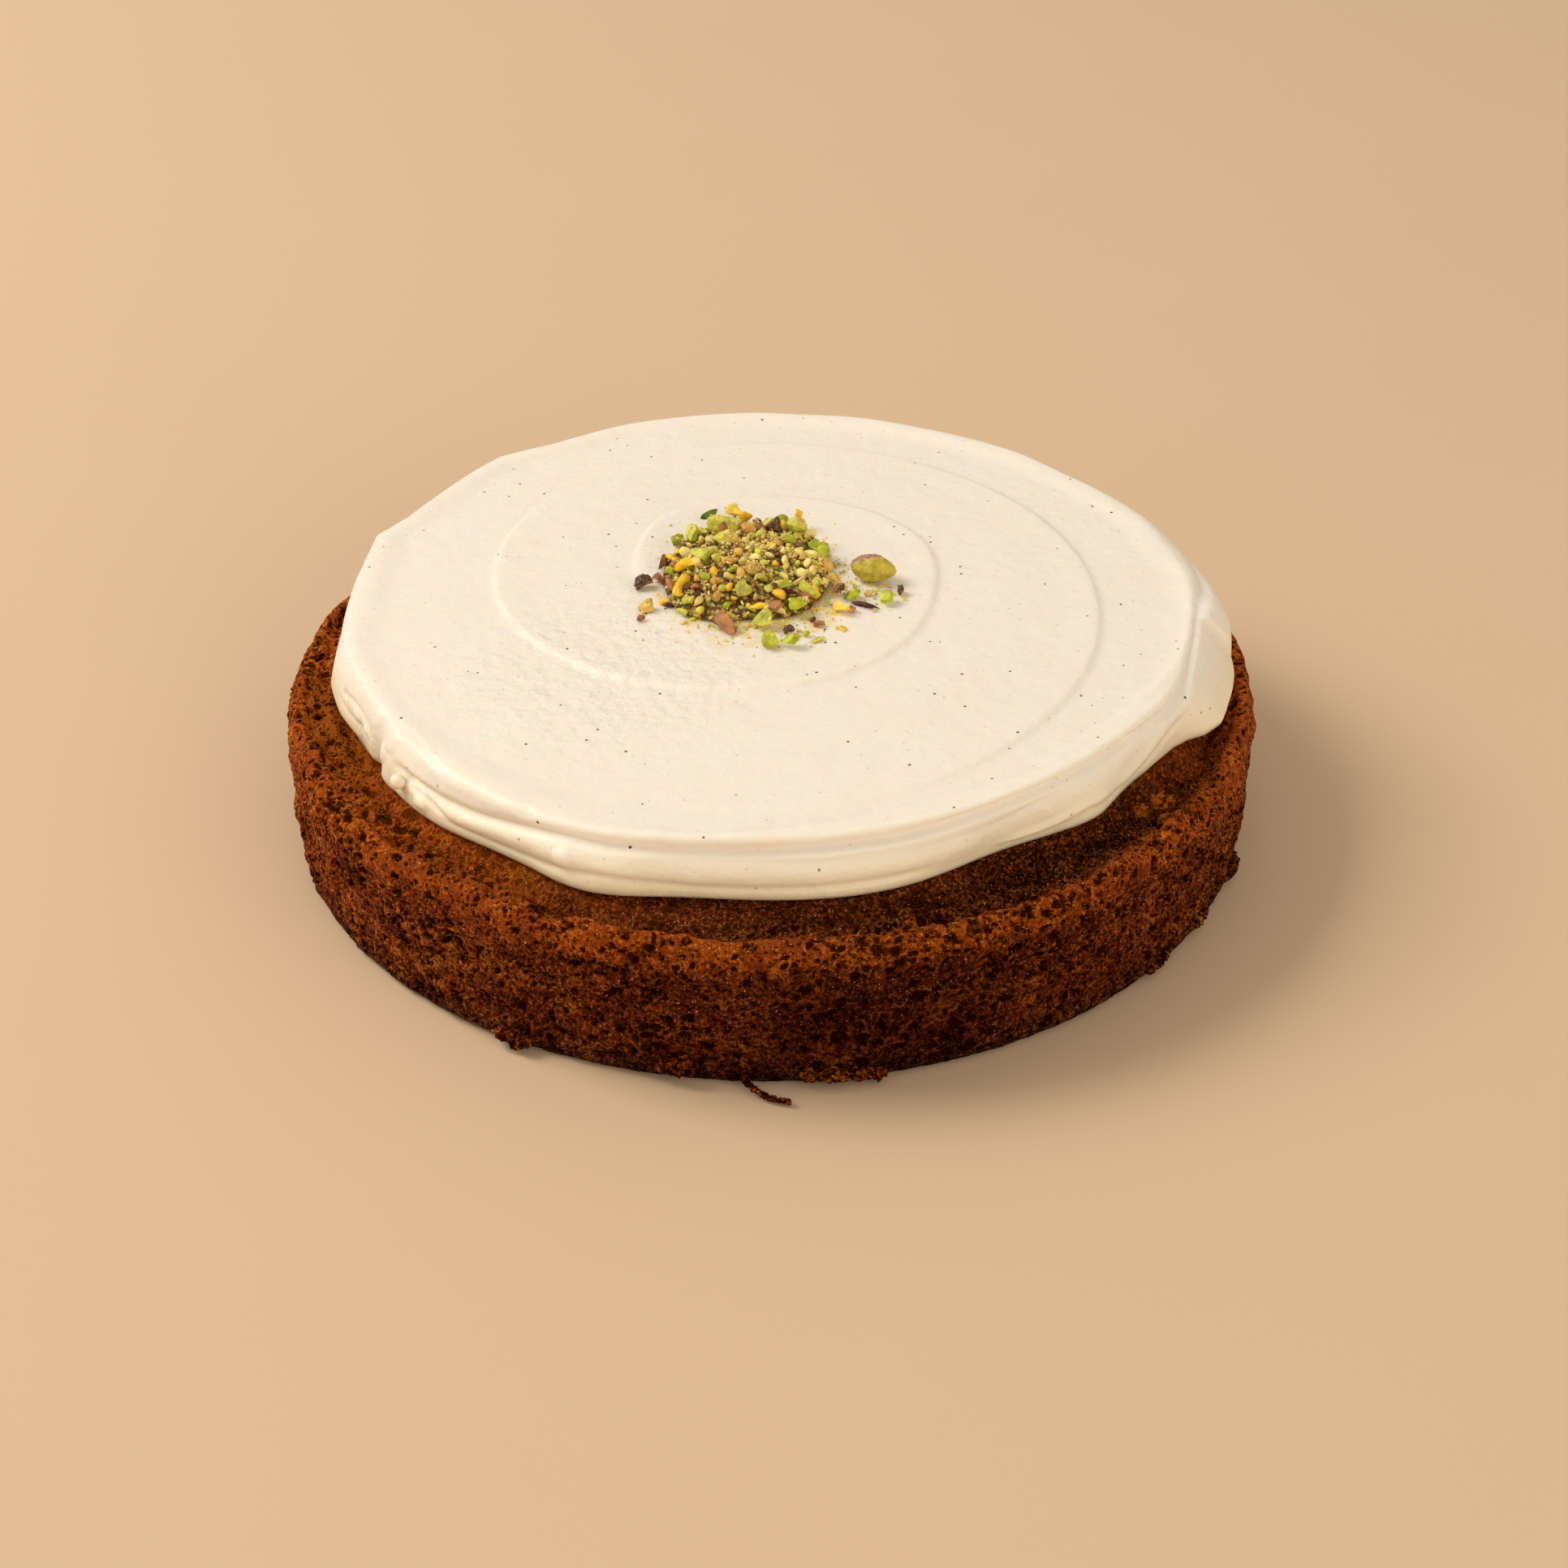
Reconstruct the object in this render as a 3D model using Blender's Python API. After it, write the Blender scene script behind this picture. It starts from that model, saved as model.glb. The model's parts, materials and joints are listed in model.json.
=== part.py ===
"""Pistachio cake: an uncut round cake under soft cream, with chopped nuts on top.

The cake stands on z = 0 with its middle on the z axis, and its front faces -Y.
Sizes below are in millimetres. Meshes are made in metres.
"""

import math
import random

import bmesh
import bpy
from mathutils import Matrix, Vector, noise
from mathutils.geometry import delaunay_2d_cdt

MM = 0.001

# The baked cake, from a ten-inch tin
SIDE_RADIUS = 125.0
FOOT_RADIUS = 124.4
BASE_RADIUS = 121.0
FOOT_HEIGHT = 5.5
FOOT_CURL = [(BASE_RADIUS, 0.0), (123.0, 1.0), (124.0, 2.8)]
SHOULDER_HEIGHT = 31.5
RIM_HEIGHT = 39.6
RIM_RADIUS = 120.8
RIM_SHIFTS = [(4, 26, 2.6)]
RIM_RISES = [(4, 26, 1.9), (248, 12, 0.5)]
SIDE_SHIFTS = [(356, 24, 1.0)]
DOME_HEIGHT = 46.3
DOME_DROP = 6.3
DOME_RADIUS = 110.0
CAKE_COLUMNS = 96
WALL_ROWS = 5
RIM_TURNS = (35.0, 65.0, 90.0)
GUTTER_ROWS = (0.35, 0.7, 1.0)
TOP_RINGS = (96.0, 78.0, 56.0, 30.0)
UNDERSIDE_RING = 60.0
CRAG_HEIGHT = 1.3
CRAG_SIZE = 12.0

# The gutter between the rim and the risen crust: (middle angle, half-width, change)
GUTTER_RADIUS = 112.0
GUTTER_WIDTH = 2.2
GUTTER_SHIFTS = [(258, 16, 6.5), (306, 16, -6.0), (190, 20, -3.5), (350, 14, 3.0)]
GUTTER_DEPTH = 2.4
GUTTER_DEPTHS = [(270, 32, -1.5), (222, 14, -1.8), (190, 18, 1.6), (346, 16, 2.2)]

# Lumps and dents of the crust that the cream leaves bare: (angle, radius, width, height)
CRUST_LUMPS = [
    (217, 110.5, 8.0, 1.6),
    (221, 115.5, 4.0, -2.6),
    (232, 115.0, 9.0, 1.5),
    (246, 119.0, 3.5, -2.0),
    (300, 109.0, 6.0, -1.4),
    (325, 116.0, 6.0, 1.4),
    (338, 113.5, 6.0, -1.8),
]

# Ragged pieces that stuck out when the cake left its tin: (angle, radius, height, length, width, thickness)
FOOT_SCRAPS = [
    (342, 124.6, 4.4, 11.0, 6.0, 6.4),
    (330, 124.0, 3.9, 14.0, 6.0, 5.6),
    (320, 123.8, 3.4, 10.0, 5.6, 4.8),
    (276, 124.2, 3.6, 12.0, 6.0, 5.0),
    (281, 124.2, 3.2, 9.0, 5.6, 4.4),
    (241, 124.6, 3.3, 11.0, 5.6, 4.4),
    (260, 124.6, 5.4, 9.0, 5.0, 5.4),
]
RIM_CRUMBS = [(325, 117.0, 40.6, 6.0, 4.5, 4.2), (322, 114.2, 39.4, 3.8, 3.2, 3.2)]
SHRED_POINTS = [(267.0, 122.0, 3.6), (268.2, 126.2, 2.2), (270.0, 129.0, 1.4), (272.2, 130.8, 1.25)]
SHRED_RADIUS = 1.15

# The cream: an uneven round, thicker than a finger, spread with a spatula
CREAM_RADIUS = 113.9
CREAM_SHIFT = (1.4, 6.4)
CREAM_LOBES = [
    (0, 15, 5.5), (180, 28, 1.1), (209, 2.6, -2.0), (248, 9, 4.8), (303, 14, -6.9), (328, 12, -6.3),
]
LIP_RADIUS = 111.7
LIP_SHIFT = 7.2
LIP_LOBES = [(247, 14, 2.6), (316, 40, -3.6), (352, 14, -1.2), (200, 18, -3.4)]
LIP_HEIGHT = 56.4
LIP_WIDTH = 7.0
CREAM_MIDDLE = 59.4
CREAM_DROP = 3.6
EDGE_HEIGHT = 43.4
TUCK_HEIGHT = 41.4
TUCK_INSET = 0.4
GAP = 0.4
CREAM_COLUMNS = 96
UNDERSIDE_INSETS = (2.6, 16.0, 44.0, 78.0)

# Folds down the cream's side: (share of the way down, how far it stands out)
SIDE_FOLDS = [
    (0.0, 0.0), (0.06, 0.3), (0.15, -0.9), (0.3, 1.1), (0.46, 0.1), (0.66, 0.8), (0.86, 0.6), (1.0, 0.0),
]
FOLD_SPREAD = [(240, 48, 1.0), (292, 20, 0.6)]

# The spatula's line winds outward, clockwise seen from above: radius at each part of a turn
LINE_CENTRE = (-2.0, 12.0)
LINE_START_ANGLE = 144.7
LINE_RADII = [
    (0.0, 39.5), (0.15, 50.7), (0.3, 50.0), (0.42, 44.8), (0.55, 48.5), (0.7, 55.5), (0.85, 65.5),
    (1.0, 76.5), (1.12, 87.0), (1.28, 85.5), (1.4, 86.6), (1.5, 92.5), (1.62, 103.5),
]
LINE_END = 1.56
LINE_STEP = 0.9
LINE_FADE_IN = 0.22
LINE_FADE_OUT = 0.06
BAND_WIDTH = 30.0
LINE_SLOPE_WIDTH = 1.6
LINE_SPACING = 7.0
LINE_MIDDLE_TURN = 415.0
LINE_FIRST_STEP = 4
BAND_MIDDLE = 14.0
MIDDLE_RINGS = [(10.0, 6), (24.0, 12), (36.0, 14)]
BORDER_MARGIN = 4.0

# The nuts: a low heap of chopped kernels on the cream, and one whole kernel beside it
HEAP_MIDDLE = (-4.0, 15.5)
HEAP_RADIUS = 22.4
HEAP_STRETCH = (1.0, 1.2)
HEAP_HEIGHT = 6.2
HEAP_STEPS = [(0.0, 1.0), (0.3, 0.98), (0.56, 0.84), (0.76, 0.6), (0.9, 0.34), (1.0, 0.14)]
CHUNK_LIFT = 0.3
HEAP_COLUMNS = 28
HEAP_BUMP = 1.1
RUBBLE_COUNT = 76
RUBBLE_SIZE = (2.0, 3.6)
GOLDEN_TURN = 137.508
KERNEL_SIZE = (11.6, 7.6, 7.0)
KERNEL_PLACE = (27.2, 13.2)
KERNEL_TURN = -14.0

# Chopped pieces that stand out in the heap: (x, y, turn, length, width, thickness)
HEAP_CHUNKS = [
    (-16.0, 38.5, 40, 7.4, 2.4, 2.4),
    (-9.0, 40.0, 0, 5.5, 4.0, 3.8),
    (-12.8, 32.9, 9, 10.4, 6.0, 5.4),
    (-12.5, 26.8, -9, 9.3, 5.6, 5.0),
    (-20.5, 31.0, 85, 5.7, 3.8, 4.4),
    (-24.6, 29.0, 82, 5.4, 4.2, 4.2),
    (-16.7, 18.0, -34, 7.3, 6.1, 5.6),
    (-22.2, 14.5, -41, 5.3, 4.4, 4.0),
    (-22.7, 5.0, 83, 7.6, 4.4, 4.2),
    (-5.2, 29.2, 0, 4.4, 4.2, 3.8),
    (0.8, 31.3, -41, 5.2, 4.2, 4.0),
    (6.7, 32.0, 21, 6.9, 5.2, 4.8),
    (7.6, 35.6, 73, 3.7, 2.6, 4.6),
    (14.5, 22.3, 79, 5.9, 3.8, 3.8),
    (11.4, 24.4, 34, 4.4, 3.9, 3.8),
    (5.7, 23.6, 18, 5.4, 3.0, 2.8),
    (7.8, 17.9, 0, 2.9, 2.6, 2.6),
    (11.9, 11.2, 18, 3.4, 2.6, 2.4),
    (10.9, 0.9, 18, 6.7, 5.5, 5.1),
    (17.9, 4.3, 76, 5.8, 2.9, 2.8),
    (6.8, -5.5, 47, 6.4, 5.0, 4.6),
    (-1.7, -10.6, -21, 6.4, 4.7, 4.3),
    (-7.2, -0.2, 15, 6.2, 3.4, 3.0),
    (3.7, 1.4, 0, 5.3, 2.6, 2.4),
    (-4.2, 8.5, 26, 4.3, 3.8, 3.5),
    (-13.6, 5.4, 0, 4.3, 3.2, 3.0),
    (-19.6, -1.9, 73, 4.3, 3.3, 3.2),
    (-26.6, 19.6, 66, 6.3, 2.6, 2.6),
]

# Pieces that rolled off the heap and lie on the cream, in the same terms
LOOSE_CHUNKS = [
    (-33.0, 9.7, 52, 5.3, 3.6, 3.3),
    (-31.0, -3.6, 18, 5.2, 3.8, 3.5),
    (-32.5, -8.6, 47, 2.4, 1.9, 1.8),
    (-12.0, -13.8, -55, 8.5, 4.0, 3.7),
    (0.4, -21.3, 34, 5.1, 5.0, 4.6),
    (6.2, -21.6, -9, 5.6, 3.8, 3.6),
    (5.4, -14.7, 41, 3.1, 2.5, 2.3),
    (18.9, -5.2, -18, 4.8, 4.0, 3.7),
    (26.0, -2.0, -25, 7.2, 1.9, 1.8),
    (31.8, 2.6, 18, 4.8, 4.2, 3.9),
    (36.0, 6.6, 79, 3.4, 2.5, 2.4),
    (22.8, 3.6, 26, 4.1, 3.4, 3.2),
    (12.9, -12.0, 0, 3.1, 2.2, 2.0),
    (18.8, -13.0, 34, 2.6, 1.9, 1.8),
    (12.6, -19.0, 41, 4.4, 2.0, 1.8),
]

MATERIALS = {
    "cake_crumb": ((107, 50, 16), 0.85),
    "cream": ((248, 233, 210), 0.5),
    "nut_pieces": ((176, 156, 52), 0.6),
    "nut_kernel": ((158, 142, 38), 0.55),
}


def smooth_step(start, end, value):
    """Rise from 0 to 1 between start and end."""
    share = min(max((value - start) / (end - start), 0.0), 1.0)
    return share * share * (3.0 - 2.0 * share)


def lobes(angle, table):
    """Sum of smooth swellings round the cake, each (middle angle, half-width, height)."""
    total = 0.0
    for middle, width, height in table:
        away = (angle - middle + 180.0) % 360.0 - 180.0
        total += height * math.exp(-((away / width) ** 2))
    return total


def curve_through(points, at):
    """Height at a place on a smooth curve through (place, height) points."""
    for index in range(len(points) - 1):
        if at <= points[index + 1][0]:
            break
    before = points[max(index - 1, 0)]
    start, end = points[index], points[index + 1]
    after = points[min(index + 2, len(points) - 1)]
    span = end[0] - start[0]
    share = min(max((at - start[0]) / span, 0.0), 1.0)
    slope_in = (end[1] - before[1]) / (end[0] - before[0]) * span
    slope_out = (after[1] - start[1]) / (after[0] - start[0]) * span
    square, cube = share * share, share * share * share
    value = (2 * cube - 3 * square + 1) * start[1] + (cube - 2 * square + share) * slope_in
    return value + (3 * square - 2 * cube) * end[1] + (cube - square) * slope_out


def around(angle, radius):
    """The point at an angle in degrees and a radius."""
    turn = math.radians(angle)
    return radius * math.cos(turn), radius * math.sin(turn)


def dome(radius):
    """Top of the cake under the cream, without its crags."""
    share = min(radius / DOME_RADIUS, 1.0)
    return DOME_HEIGHT - DOME_DROP * share * share


def cream_edge(angle):
    """Radius of the cream where it is widest."""
    turn = math.radians(angle)
    shift = CREAM_SHIFT[0] * math.cos(turn) + CREAM_SHIFT[1] * math.sin(turn)
    return CREAM_RADIUS + shift + lobes(angle, CREAM_LOBES)


def lip_radius(angle):
    """Radius of the lip that the spatula left round the top of the cream."""
    return LIP_RADIUS + LIP_SHIFT * math.sin(math.radians(angle)) + lobes(angle, LIP_LOBES)


def bare_crust(angle, radius):
    """1 where the crust lies bare, fading to 0 under the cream."""
    edge = cream_edge(angle)
    return smooth_step(edge + 2.0, edge + 5.0, radius)


def crags(x, y, z):
    """Uneven height of baked crust at a point, as two sizes of lumps."""
    place = Vector((x, y, z)) / CRAG_SIZE
    coarse = noise.noise(place)
    fine = noise.noise(place * 2.7)
    return CRAG_HEIGHT * (coarse + 0.5 * fine)


def crust_lump(x, y):
    """Height that the named lumps and dents add at a point on top."""
    total = 0.0
    for angle, radius, width, height in CRUST_LUMPS:
        middle_x, middle_y = around(angle, radius)
        away = math.hypot(x - middle_x, y - middle_y) / width
        total += height * math.exp(-away * away)
    return total


def cake_profile(angle):
    """Rows of (radius, height) from the underside's edge up the wall, over the rim and in to the middle."""
    gutter = GUTTER_RADIUS + lobes(angle, GUTTER_SHIFTS)
    depth = max(GUTTER_DEPTH + lobes(angle, GUTTER_DEPTHS), 0.4)
    floor = min(dome(gutter), RIM_HEIGHT) - depth
    wide = SIDE_RADIUS + lobes(angle, SIDE_SHIFTS)
    rim_radius = RIM_RADIUS + lobes(angle, RIM_SHIFTS)
    rim_height = RIM_HEIGHT + lobes(angle, RIM_RISES)
    rows = [(UNDERSIDE_RING, 0.0), *FOOT_CURL, (FOOT_RADIUS, FOOT_HEIGHT)]
    for row in range(1, WALL_ROWS + 1):
        share = row / WALL_ROWS
        radius = FOOT_RADIUS + (wide - FOOT_RADIUS) * math.sin(share * math.pi / 2)
        rows.append((radius, FOOT_HEIGHT + (SHOULDER_HEIGHT - FOOT_HEIGHT) * share))
    for turn in RIM_TURNS:
        across, up = around(turn, 1.0)
        radius = rim_radius + (wide - rim_radius) * across
        rows.append((radius, SHOULDER_HEIGHT + (rim_height - SHOULDER_HEIGHT) * up))
    for share in GUTTER_ROWS:
        radius = rim_radius - (rim_radius - gutter) * share
        rows.append((radius, rim_height - (rim_height - floor) * share * share))
    rows.append((gutter - GUTTER_WIDTH, dome(gutter) - 0.5 * depth))
    for radius in (gutter - 2.5 * GUTTER_WIDTH, *TOP_RINGS):
        rows.append((radius, dome(radius)))
    return rows


def ring_mesh(name, rings, caps, material):
    """A closed piece from rings of points, first ring at the underside, with (bottom, top) cap points."""
    columns = len(rings[0])
    points = [point for ring in rings for point in ring]
    faces = []
    for row in range(len(rings) - 1):
        for column in range(columns):
            here = row * columns + column
            beside = row * columns + (column + 1) % columns
            faces.append((here, beside, beside + columns, here + columns))
    last = (len(rings) - 1) * columns
    for cap, start, flip in ((caps[0], 0, True), (caps[1], last, False)):
        points.append(cap)
        middle = len(points) - 1
        for column in range(columns):
            pair = (start + column, start + (column + 1) % columns)
            faces.append((pair[1], pair[0], middle) if flip else (pair[0], pair[1], middle))
    return mesh_object(name, points, faces, material)


def mesh_object(name, points, faces, material):
    """An object from points in millimetres, smooth shaded where it is round."""
    mesh = bpy.data.meshes.new(name)
    mesh.from_pydata([Vector(point) * MM for point in points], [], faces)
    mesh.validate()
    mesh.shade_smooth()
    mesh.set_sharp_from_angle(angle=math.radians(50))
    if material is not None:
        mesh.materials.append(material)
    thing = bpy.data.objects.new(name, mesh)
    bpy.context.scene.collection.objects.link(thing)
    return thing


def make_material(name):
    """One food's own material."""
    colour, roughness = MATERIALS[name]
    material = bpy.data.materials.new(name)
    material.use_nodes = True
    shader = material.node_tree.nodes["Principled BSDF"]
    linear = [((part / 255 + 0.055) / 1.055) ** 2.4 for part in colour]
    shader.inputs["Base Color"].default_value = (*linear, 1.0)
    shader.inputs["Roughness"].default_value = roughness
    shader.inputs["Metallic"].default_value = 0.0
    return material


def chunk(size, place, turn, draw, corners=13, tilt=0.3):
    """A chopped piece: the hull of random points on a rounded block."""
    shape = bmesh.new()
    for corner in range(corners):
        height = 1.0 - 2.0 * (corner + 0.5) / corners
        across = math.sqrt(1.0 - height * height)
        around_turn = corner * math.pi * (3.0 - math.sqrt(5.0)) + draw.uniform(-0.5, 0.5)
        reach = draw.uniform(0.86, 1.1)
        shape.verts.new((
            reach * across * math.cos(around_turn) * size[0] / 2,
            reach * across * math.sin(around_turn) * size[1] / 2,
            reach * height * size[2] / 2,
        ))
    hull = bmesh.ops.convex_hull(shape, input=shape.verts)
    inside = set(hull["geom_interior"] + hull["geom_unused"])
    bmesh.ops.delete(shape, geom=[part for part in inside if isinstance(part, bmesh.types.BMVert)])
    bmesh.ops.rotate(shape, verts=shape.verts, matrix=Matrix.Rotation(draw.uniform(-tilt, tilt), 3, "X"))
    bmesh.ops.rotate(shape, verts=shape.verts, matrix=Matrix.Rotation(math.radians(turn), 3, "Z"))
    bmesh.ops.translate(shape, verts=shape.verts, vec=place)
    bmesh.ops.scale(shape, verts=shape.verts, vec=(MM, MM, MM))
    mesh = bpy.data.meshes.new("chunk")
    shape.to_mesh(mesh)
    shape.free()
    thing = bpy.data.objects.new("chunk", mesh)
    bpy.context.scene.collection.objects.link(thing)
    return thing


def fuse(body, pieces):
    """Join pieces to a body with one Boolean union, then remove them."""
    group = bpy.data.collections.new("pieces")
    bpy.context.scene.collection.children.link(group)
    for piece in pieces:
        bpy.context.scene.collection.objects.unlink(piece)
        group.objects.link(piece)
    union = body.modifiers.new("fuse", "BOOLEAN")
    union.operation = "UNION"
    union.operand_type = "COLLECTION"
    union.collection = group
    union.solver = "MANIFOLD"
    graph = bpy.context.evaluated_depsgraph_get()
    fused = bpy.data.meshes.new_from_object(body.evaluated_get(graph))
    body.modifiers.clear()
    body.data = fused
    for piece in pieces:
        bpy.data.objects.remove(piece, do_unlink=True)
    bpy.data.collections.remove(group)
    keep_largest(body)


def keep_largest(body):
    """Drop loose scraps and inner shells, so that one closed body is left."""
    shape = bmesh.new()
    shape.from_mesh(body.data)
    waiting = set(shape.verts)
    groups = []
    while waiting:
        reached = [waiting.pop()]
        group = []
        while reached:
            corner = reached.pop()
            group.append(corner)
            for edge in corner.link_edges:
                other = edge.other_vert(corner)
                if other in waiting:
                    waiting.remove(other)
                    reached.append(other)
        groups.append(group)
    groups.sort(key=len)
    for group in groups[:-1]:
        bmesh.ops.delete(shape, geom=group, context="VERTS")
    shape.to_mesh(body.data)
    shape.free()


def build_cake(material):
    """The baked cake with its craggy crust, gutter, rim and the scraps fused to it."""
    angles = [360.0 * column / CAKE_COLUMNS for column in range(CAKE_COLUMNS)]
    profiles = [cake_profile(angle) for angle in angles]
    rings = []
    for row in range(len(profiles[0])):
        ring = []
        for angle, profile in zip(angles, profiles):
            radius, height = profile[row]
            x, y = around(angle, radius)
            bare = bare_crust(angle, radius)
            if height > RIM_HEIGHT * 0.9 and radius < SIDE_RADIUS - 0.5:
                height += bare * (crags(x, y, height) + crust_lump(x, y))
            elif height > 0.0:
                side = smooth_step(0.0, FOOT_HEIGHT, height)
                x, y = around(angle, radius + 0.8 * side * crags(x, y, height))
            ring.append((x, y, height))
        rings.append(ring)
    cake = ring_mesh("cake", rings, ((0.0, 0.0, 0.0), (0.0, 0.0, dome(0.0))), material)
    fuse(cake, foot_scraps() + [shred()])
    return cake


def foot_scraps():
    """Burnt and ragged crumbs round the foot and on the rim."""
    draw = random.Random(4)
    pieces = []
    for angle, radius, height, length, width, thickness in FOOT_SCRAPS + RIM_CRUMBS:
        x, y = around(angle, radius - 1.2)
        pieces.append(chunk((width, length, thickness), (x, y, height), angle, draw, 22, 0.06))
    return pieces


def shred():
    """A strand of crumb that was pulled from the foot and lies in front of it."""
    line = bpy.data.curves.new("shred", "CURVE")
    line.dimensions = "3D"
    line.bevel_depth = SHRED_RADIUS * MM
    line.bevel_resolution = 1
    line.use_fill_caps = True
    path = line.splines.new("POLY")
    path.points.add(len(SHRED_POINTS) - 1)
    for point, (angle, radius, height) in zip(path.points, SHRED_POINTS):
        x, y = around(angle, radius)
        point.co = (x * MM, y * MM, height * MM, 1.0)
    guide = bpy.data.objects.new("shred", line)
    bpy.context.scene.collection.objects.link(guide)
    graph = bpy.context.evaluated_depsgraph_get()
    mesh = bpy.data.meshes.new_from_object(guide.evaluated_get(graph))
    bpy.data.objects.remove(guide, do_unlink=True)
    shape = bmesh.new()
    shape.from_mesh(mesh)
    bmesh.ops.remove_doubles(shape, verts=shape.verts, dist=0.01 * MM)
    shape.to_mesh(mesh)
    shape.free()
    thing = bpy.data.objects.new("shred", mesh)
    bpy.context.scene.collection.objects.link(thing)
    return thing


def line_radius(turn):
    """Distance of the spatula's line from its centre after some turns."""
    return curve_through(LINE_RADII, turn)


def line_point(turn, outward=0.0):
    """A point on the spatula's line, or a little outside it."""
    x, y = around(LINE_START_ANGLE - 360.0 * turn, line_radius(turn) + outward)
    return x + LINE_CENTRE[0], y + LINE_CENTRE[1]


def spatula_height(x, y):
    """How far the spatula's bands rise or fall at a point: each line steps up, and its band falls away."""
    dx, dy = x - LINE_CENTRE[0], y - LINE_CENTRE[1]
    radius = math.hypot(dx, dy)
    part = ((LINE_START_ANGLE - math.degrees(math.atan2(dy, dx))) % 360.0) / 360.0
    height = -LINE_STEP / 2
    for turns in (0, 1):
        turn = part + turns
        if turn > LINE_END + LINE_FADE_OUT or radius < line_radius(turn):
            continue
        fade = smooth_step(0.0, LINE_FADE_IN, turn)
        fade *= 1.0 - smooth_step(LINE_END - LINE_FADE_OUT, LINE_END + LINE_FADE_OUT, turn)
        fall = min((radius - line_radius(turn)) / BAND_WIDTH, 1.0)
        height = LINE_STEP * fade * (1.0 - fall) - LINE_STEP / 2
    return height


def cream_top(x, y):
    """Height of the cream's top."""
    share = math.hypot(x, y) / DOME_RADIUS
    return CREAM_MIDDLE - CREAM_DROP * share * share + spatula_height(x, y)


def cream_top_points(border):
    """Flat layout of the cream's top: its border, both sides of the spatula's line and points between."""
    steps = int(LINE_END * LINE_MIDDLE_TURN / LINE_SPACING)
    points = [(x, y) for x, y, _ in border]
    edges = []
    for side in (-0.5, 0.5):
        for step in range(LINE_FIRST_STEP, steps + 1):
            points.append(line_point(LINE_END * step / steps, side * LINE_SLOPE_WIDTH))
            if step > LINE_FIRST_STEP:
                edges.append((len(points) - 2, len(points) - 1))
    between = [line_point(LINE_END * step / steps, BAND_MIDDLE) for step in range(0, steps, 2)]
    for radius, count in MIDDLE_RINGS:
        for column in range(count):
            x, y = around(360.0 * column / count, radius)
            between.append((x, y + LINE_CENTRE[1]))
    for x, y in between:
        angle = math.degrees(math.atan2(y, x)) % 360.0
        if math.hypot(x, y) < lip_radius(angle) - LIP_WIDTH - BORDER_MARGIN:
            points.append((x, y))
    return points, edges


def cream_side(angle):
    """Rows of (radius, height) from the lip's inner foot out over the lip, down the folds and under."""
    lip, edge = lip_radius(angle), cream_edge(angle)
    folded = min(lobes(angle, FOLD_SPREAD), 1.0)
    flare = smooth_step(4.0, 10.0, edge - lip)
    rows = [(lip - 3.2, LIP_HEIGHT + 0.1)]
    for share, out in SIDE_FOLDS:
        reach = share ** (1.0 + 0.8 * flare)
        plain = (0.5 + 1.6 * flare) * math.sin(share * math.pi)
        radius = lip + (edge - lip) * reach + folded * out + (1.0 - folded) * plain
        rows.append((radius, LIP_HEIGHT + (EDGE_HEIGHT - LIP_HEIGHT) * share))
    rows.append((edge - TUCK_INSET, TUCK_HEIGHT))
    return rows


def build_cream(material):
    """The cream: its top with the spatula's line, its folded side and its underside on the cake."""
    angles = [360.0 * column / CREAM_COLUMNS for column in range(CREAM_COLUMNS)]
    border = []
    for angle in angles:
        x, y = around(angle, lip_radius(angle) - LIP_WIDTH)
        border.append((x, y, cream_top(x, y)))
    flat, edges = cream_top_points(border)
    layout = delaunay_2d_cdt([Vector(point) for point in flat], edges, [list(range(CREAM_COLUMNS))], 1, 1e-4)
    points = []
    sources = layout[3]
    for (x, y), source in zip(layout[0], sources):
        index = source[0] if source else CREAM_COLUMNS
        points.append(border[index] if index < CREAM_COLUMNS else (x, y, cream_top(x, y)))
    rim = {}
    for place, source in enumerate(sources):
        for index in source:
            if index < CREAM_COLUMNS:
                rim[index] = place
    faces = [tuple(face) for face in layout[2]]
    sides = [cream_side(angle) for angle in angles]
    rows = [[(around(angle, side[row][0]), side[row][1]) for angle, side in zip(angles, sides)]
            for row in range(len(sides[0]))]
    for inset in UNDERSIDE_INSETS:
        ring = []
        for angle in angles:
            radius = cream_edge(angle) - inset
            ring.append((around(angle, radius), dome(radius) + GAP))
        rows.append(ring)
    previous = [rim[column] for column in range(CREAM_COLUMNS)]
    for row in rows:
        start = len(points)
        points.extend((x, y, height) for (x, y), height in row)
        current = [start + column for column in range(CREAM_COLUMNS)]
        for column in range(CREAM_COLUMNS):
            beside = (column + 1) % CREAM_COLUMNS
            faces.append((previous[column], current[column], current[beside], previous[beside]))
        previous = current
    points.append((0.0, 0.0, dome(0.0) + GAP))
    for column in range(CREAM_COLUMNS):
        faces.append((previous[column], len(points) - 1, previous[(column + 1) % CREAM_COLUMNS]))
    cream = mesh_object("frosting", points, faces, material)
    fuse(cream, loose_chunks())
    return cream


def loose_chunks():
    """Chopped pieces on the cream, each pressed a little into it."""
    draw = random.Random(11)
    pieces = []
    for x, y, turn, length, width, thickness in LOOSE_CHUNKS:
        place = (x, y, cream_top(x, y) + CHUNK_LIFT * thickness)
        pieces.append(chunk((length, width, thickness), place, turn, draw))
    return pieces


def heap_outline(angle):
    """Radius of the heap's core before it is stretched."""
    turn = math.radians(angle)
    wave = noise.noise(Vector((math.cos(turn), math.sin(turn), 0.4)) * 1.3)
    return HEAP_RADIUS * (1.0 + 0.16 * wave)


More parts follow.
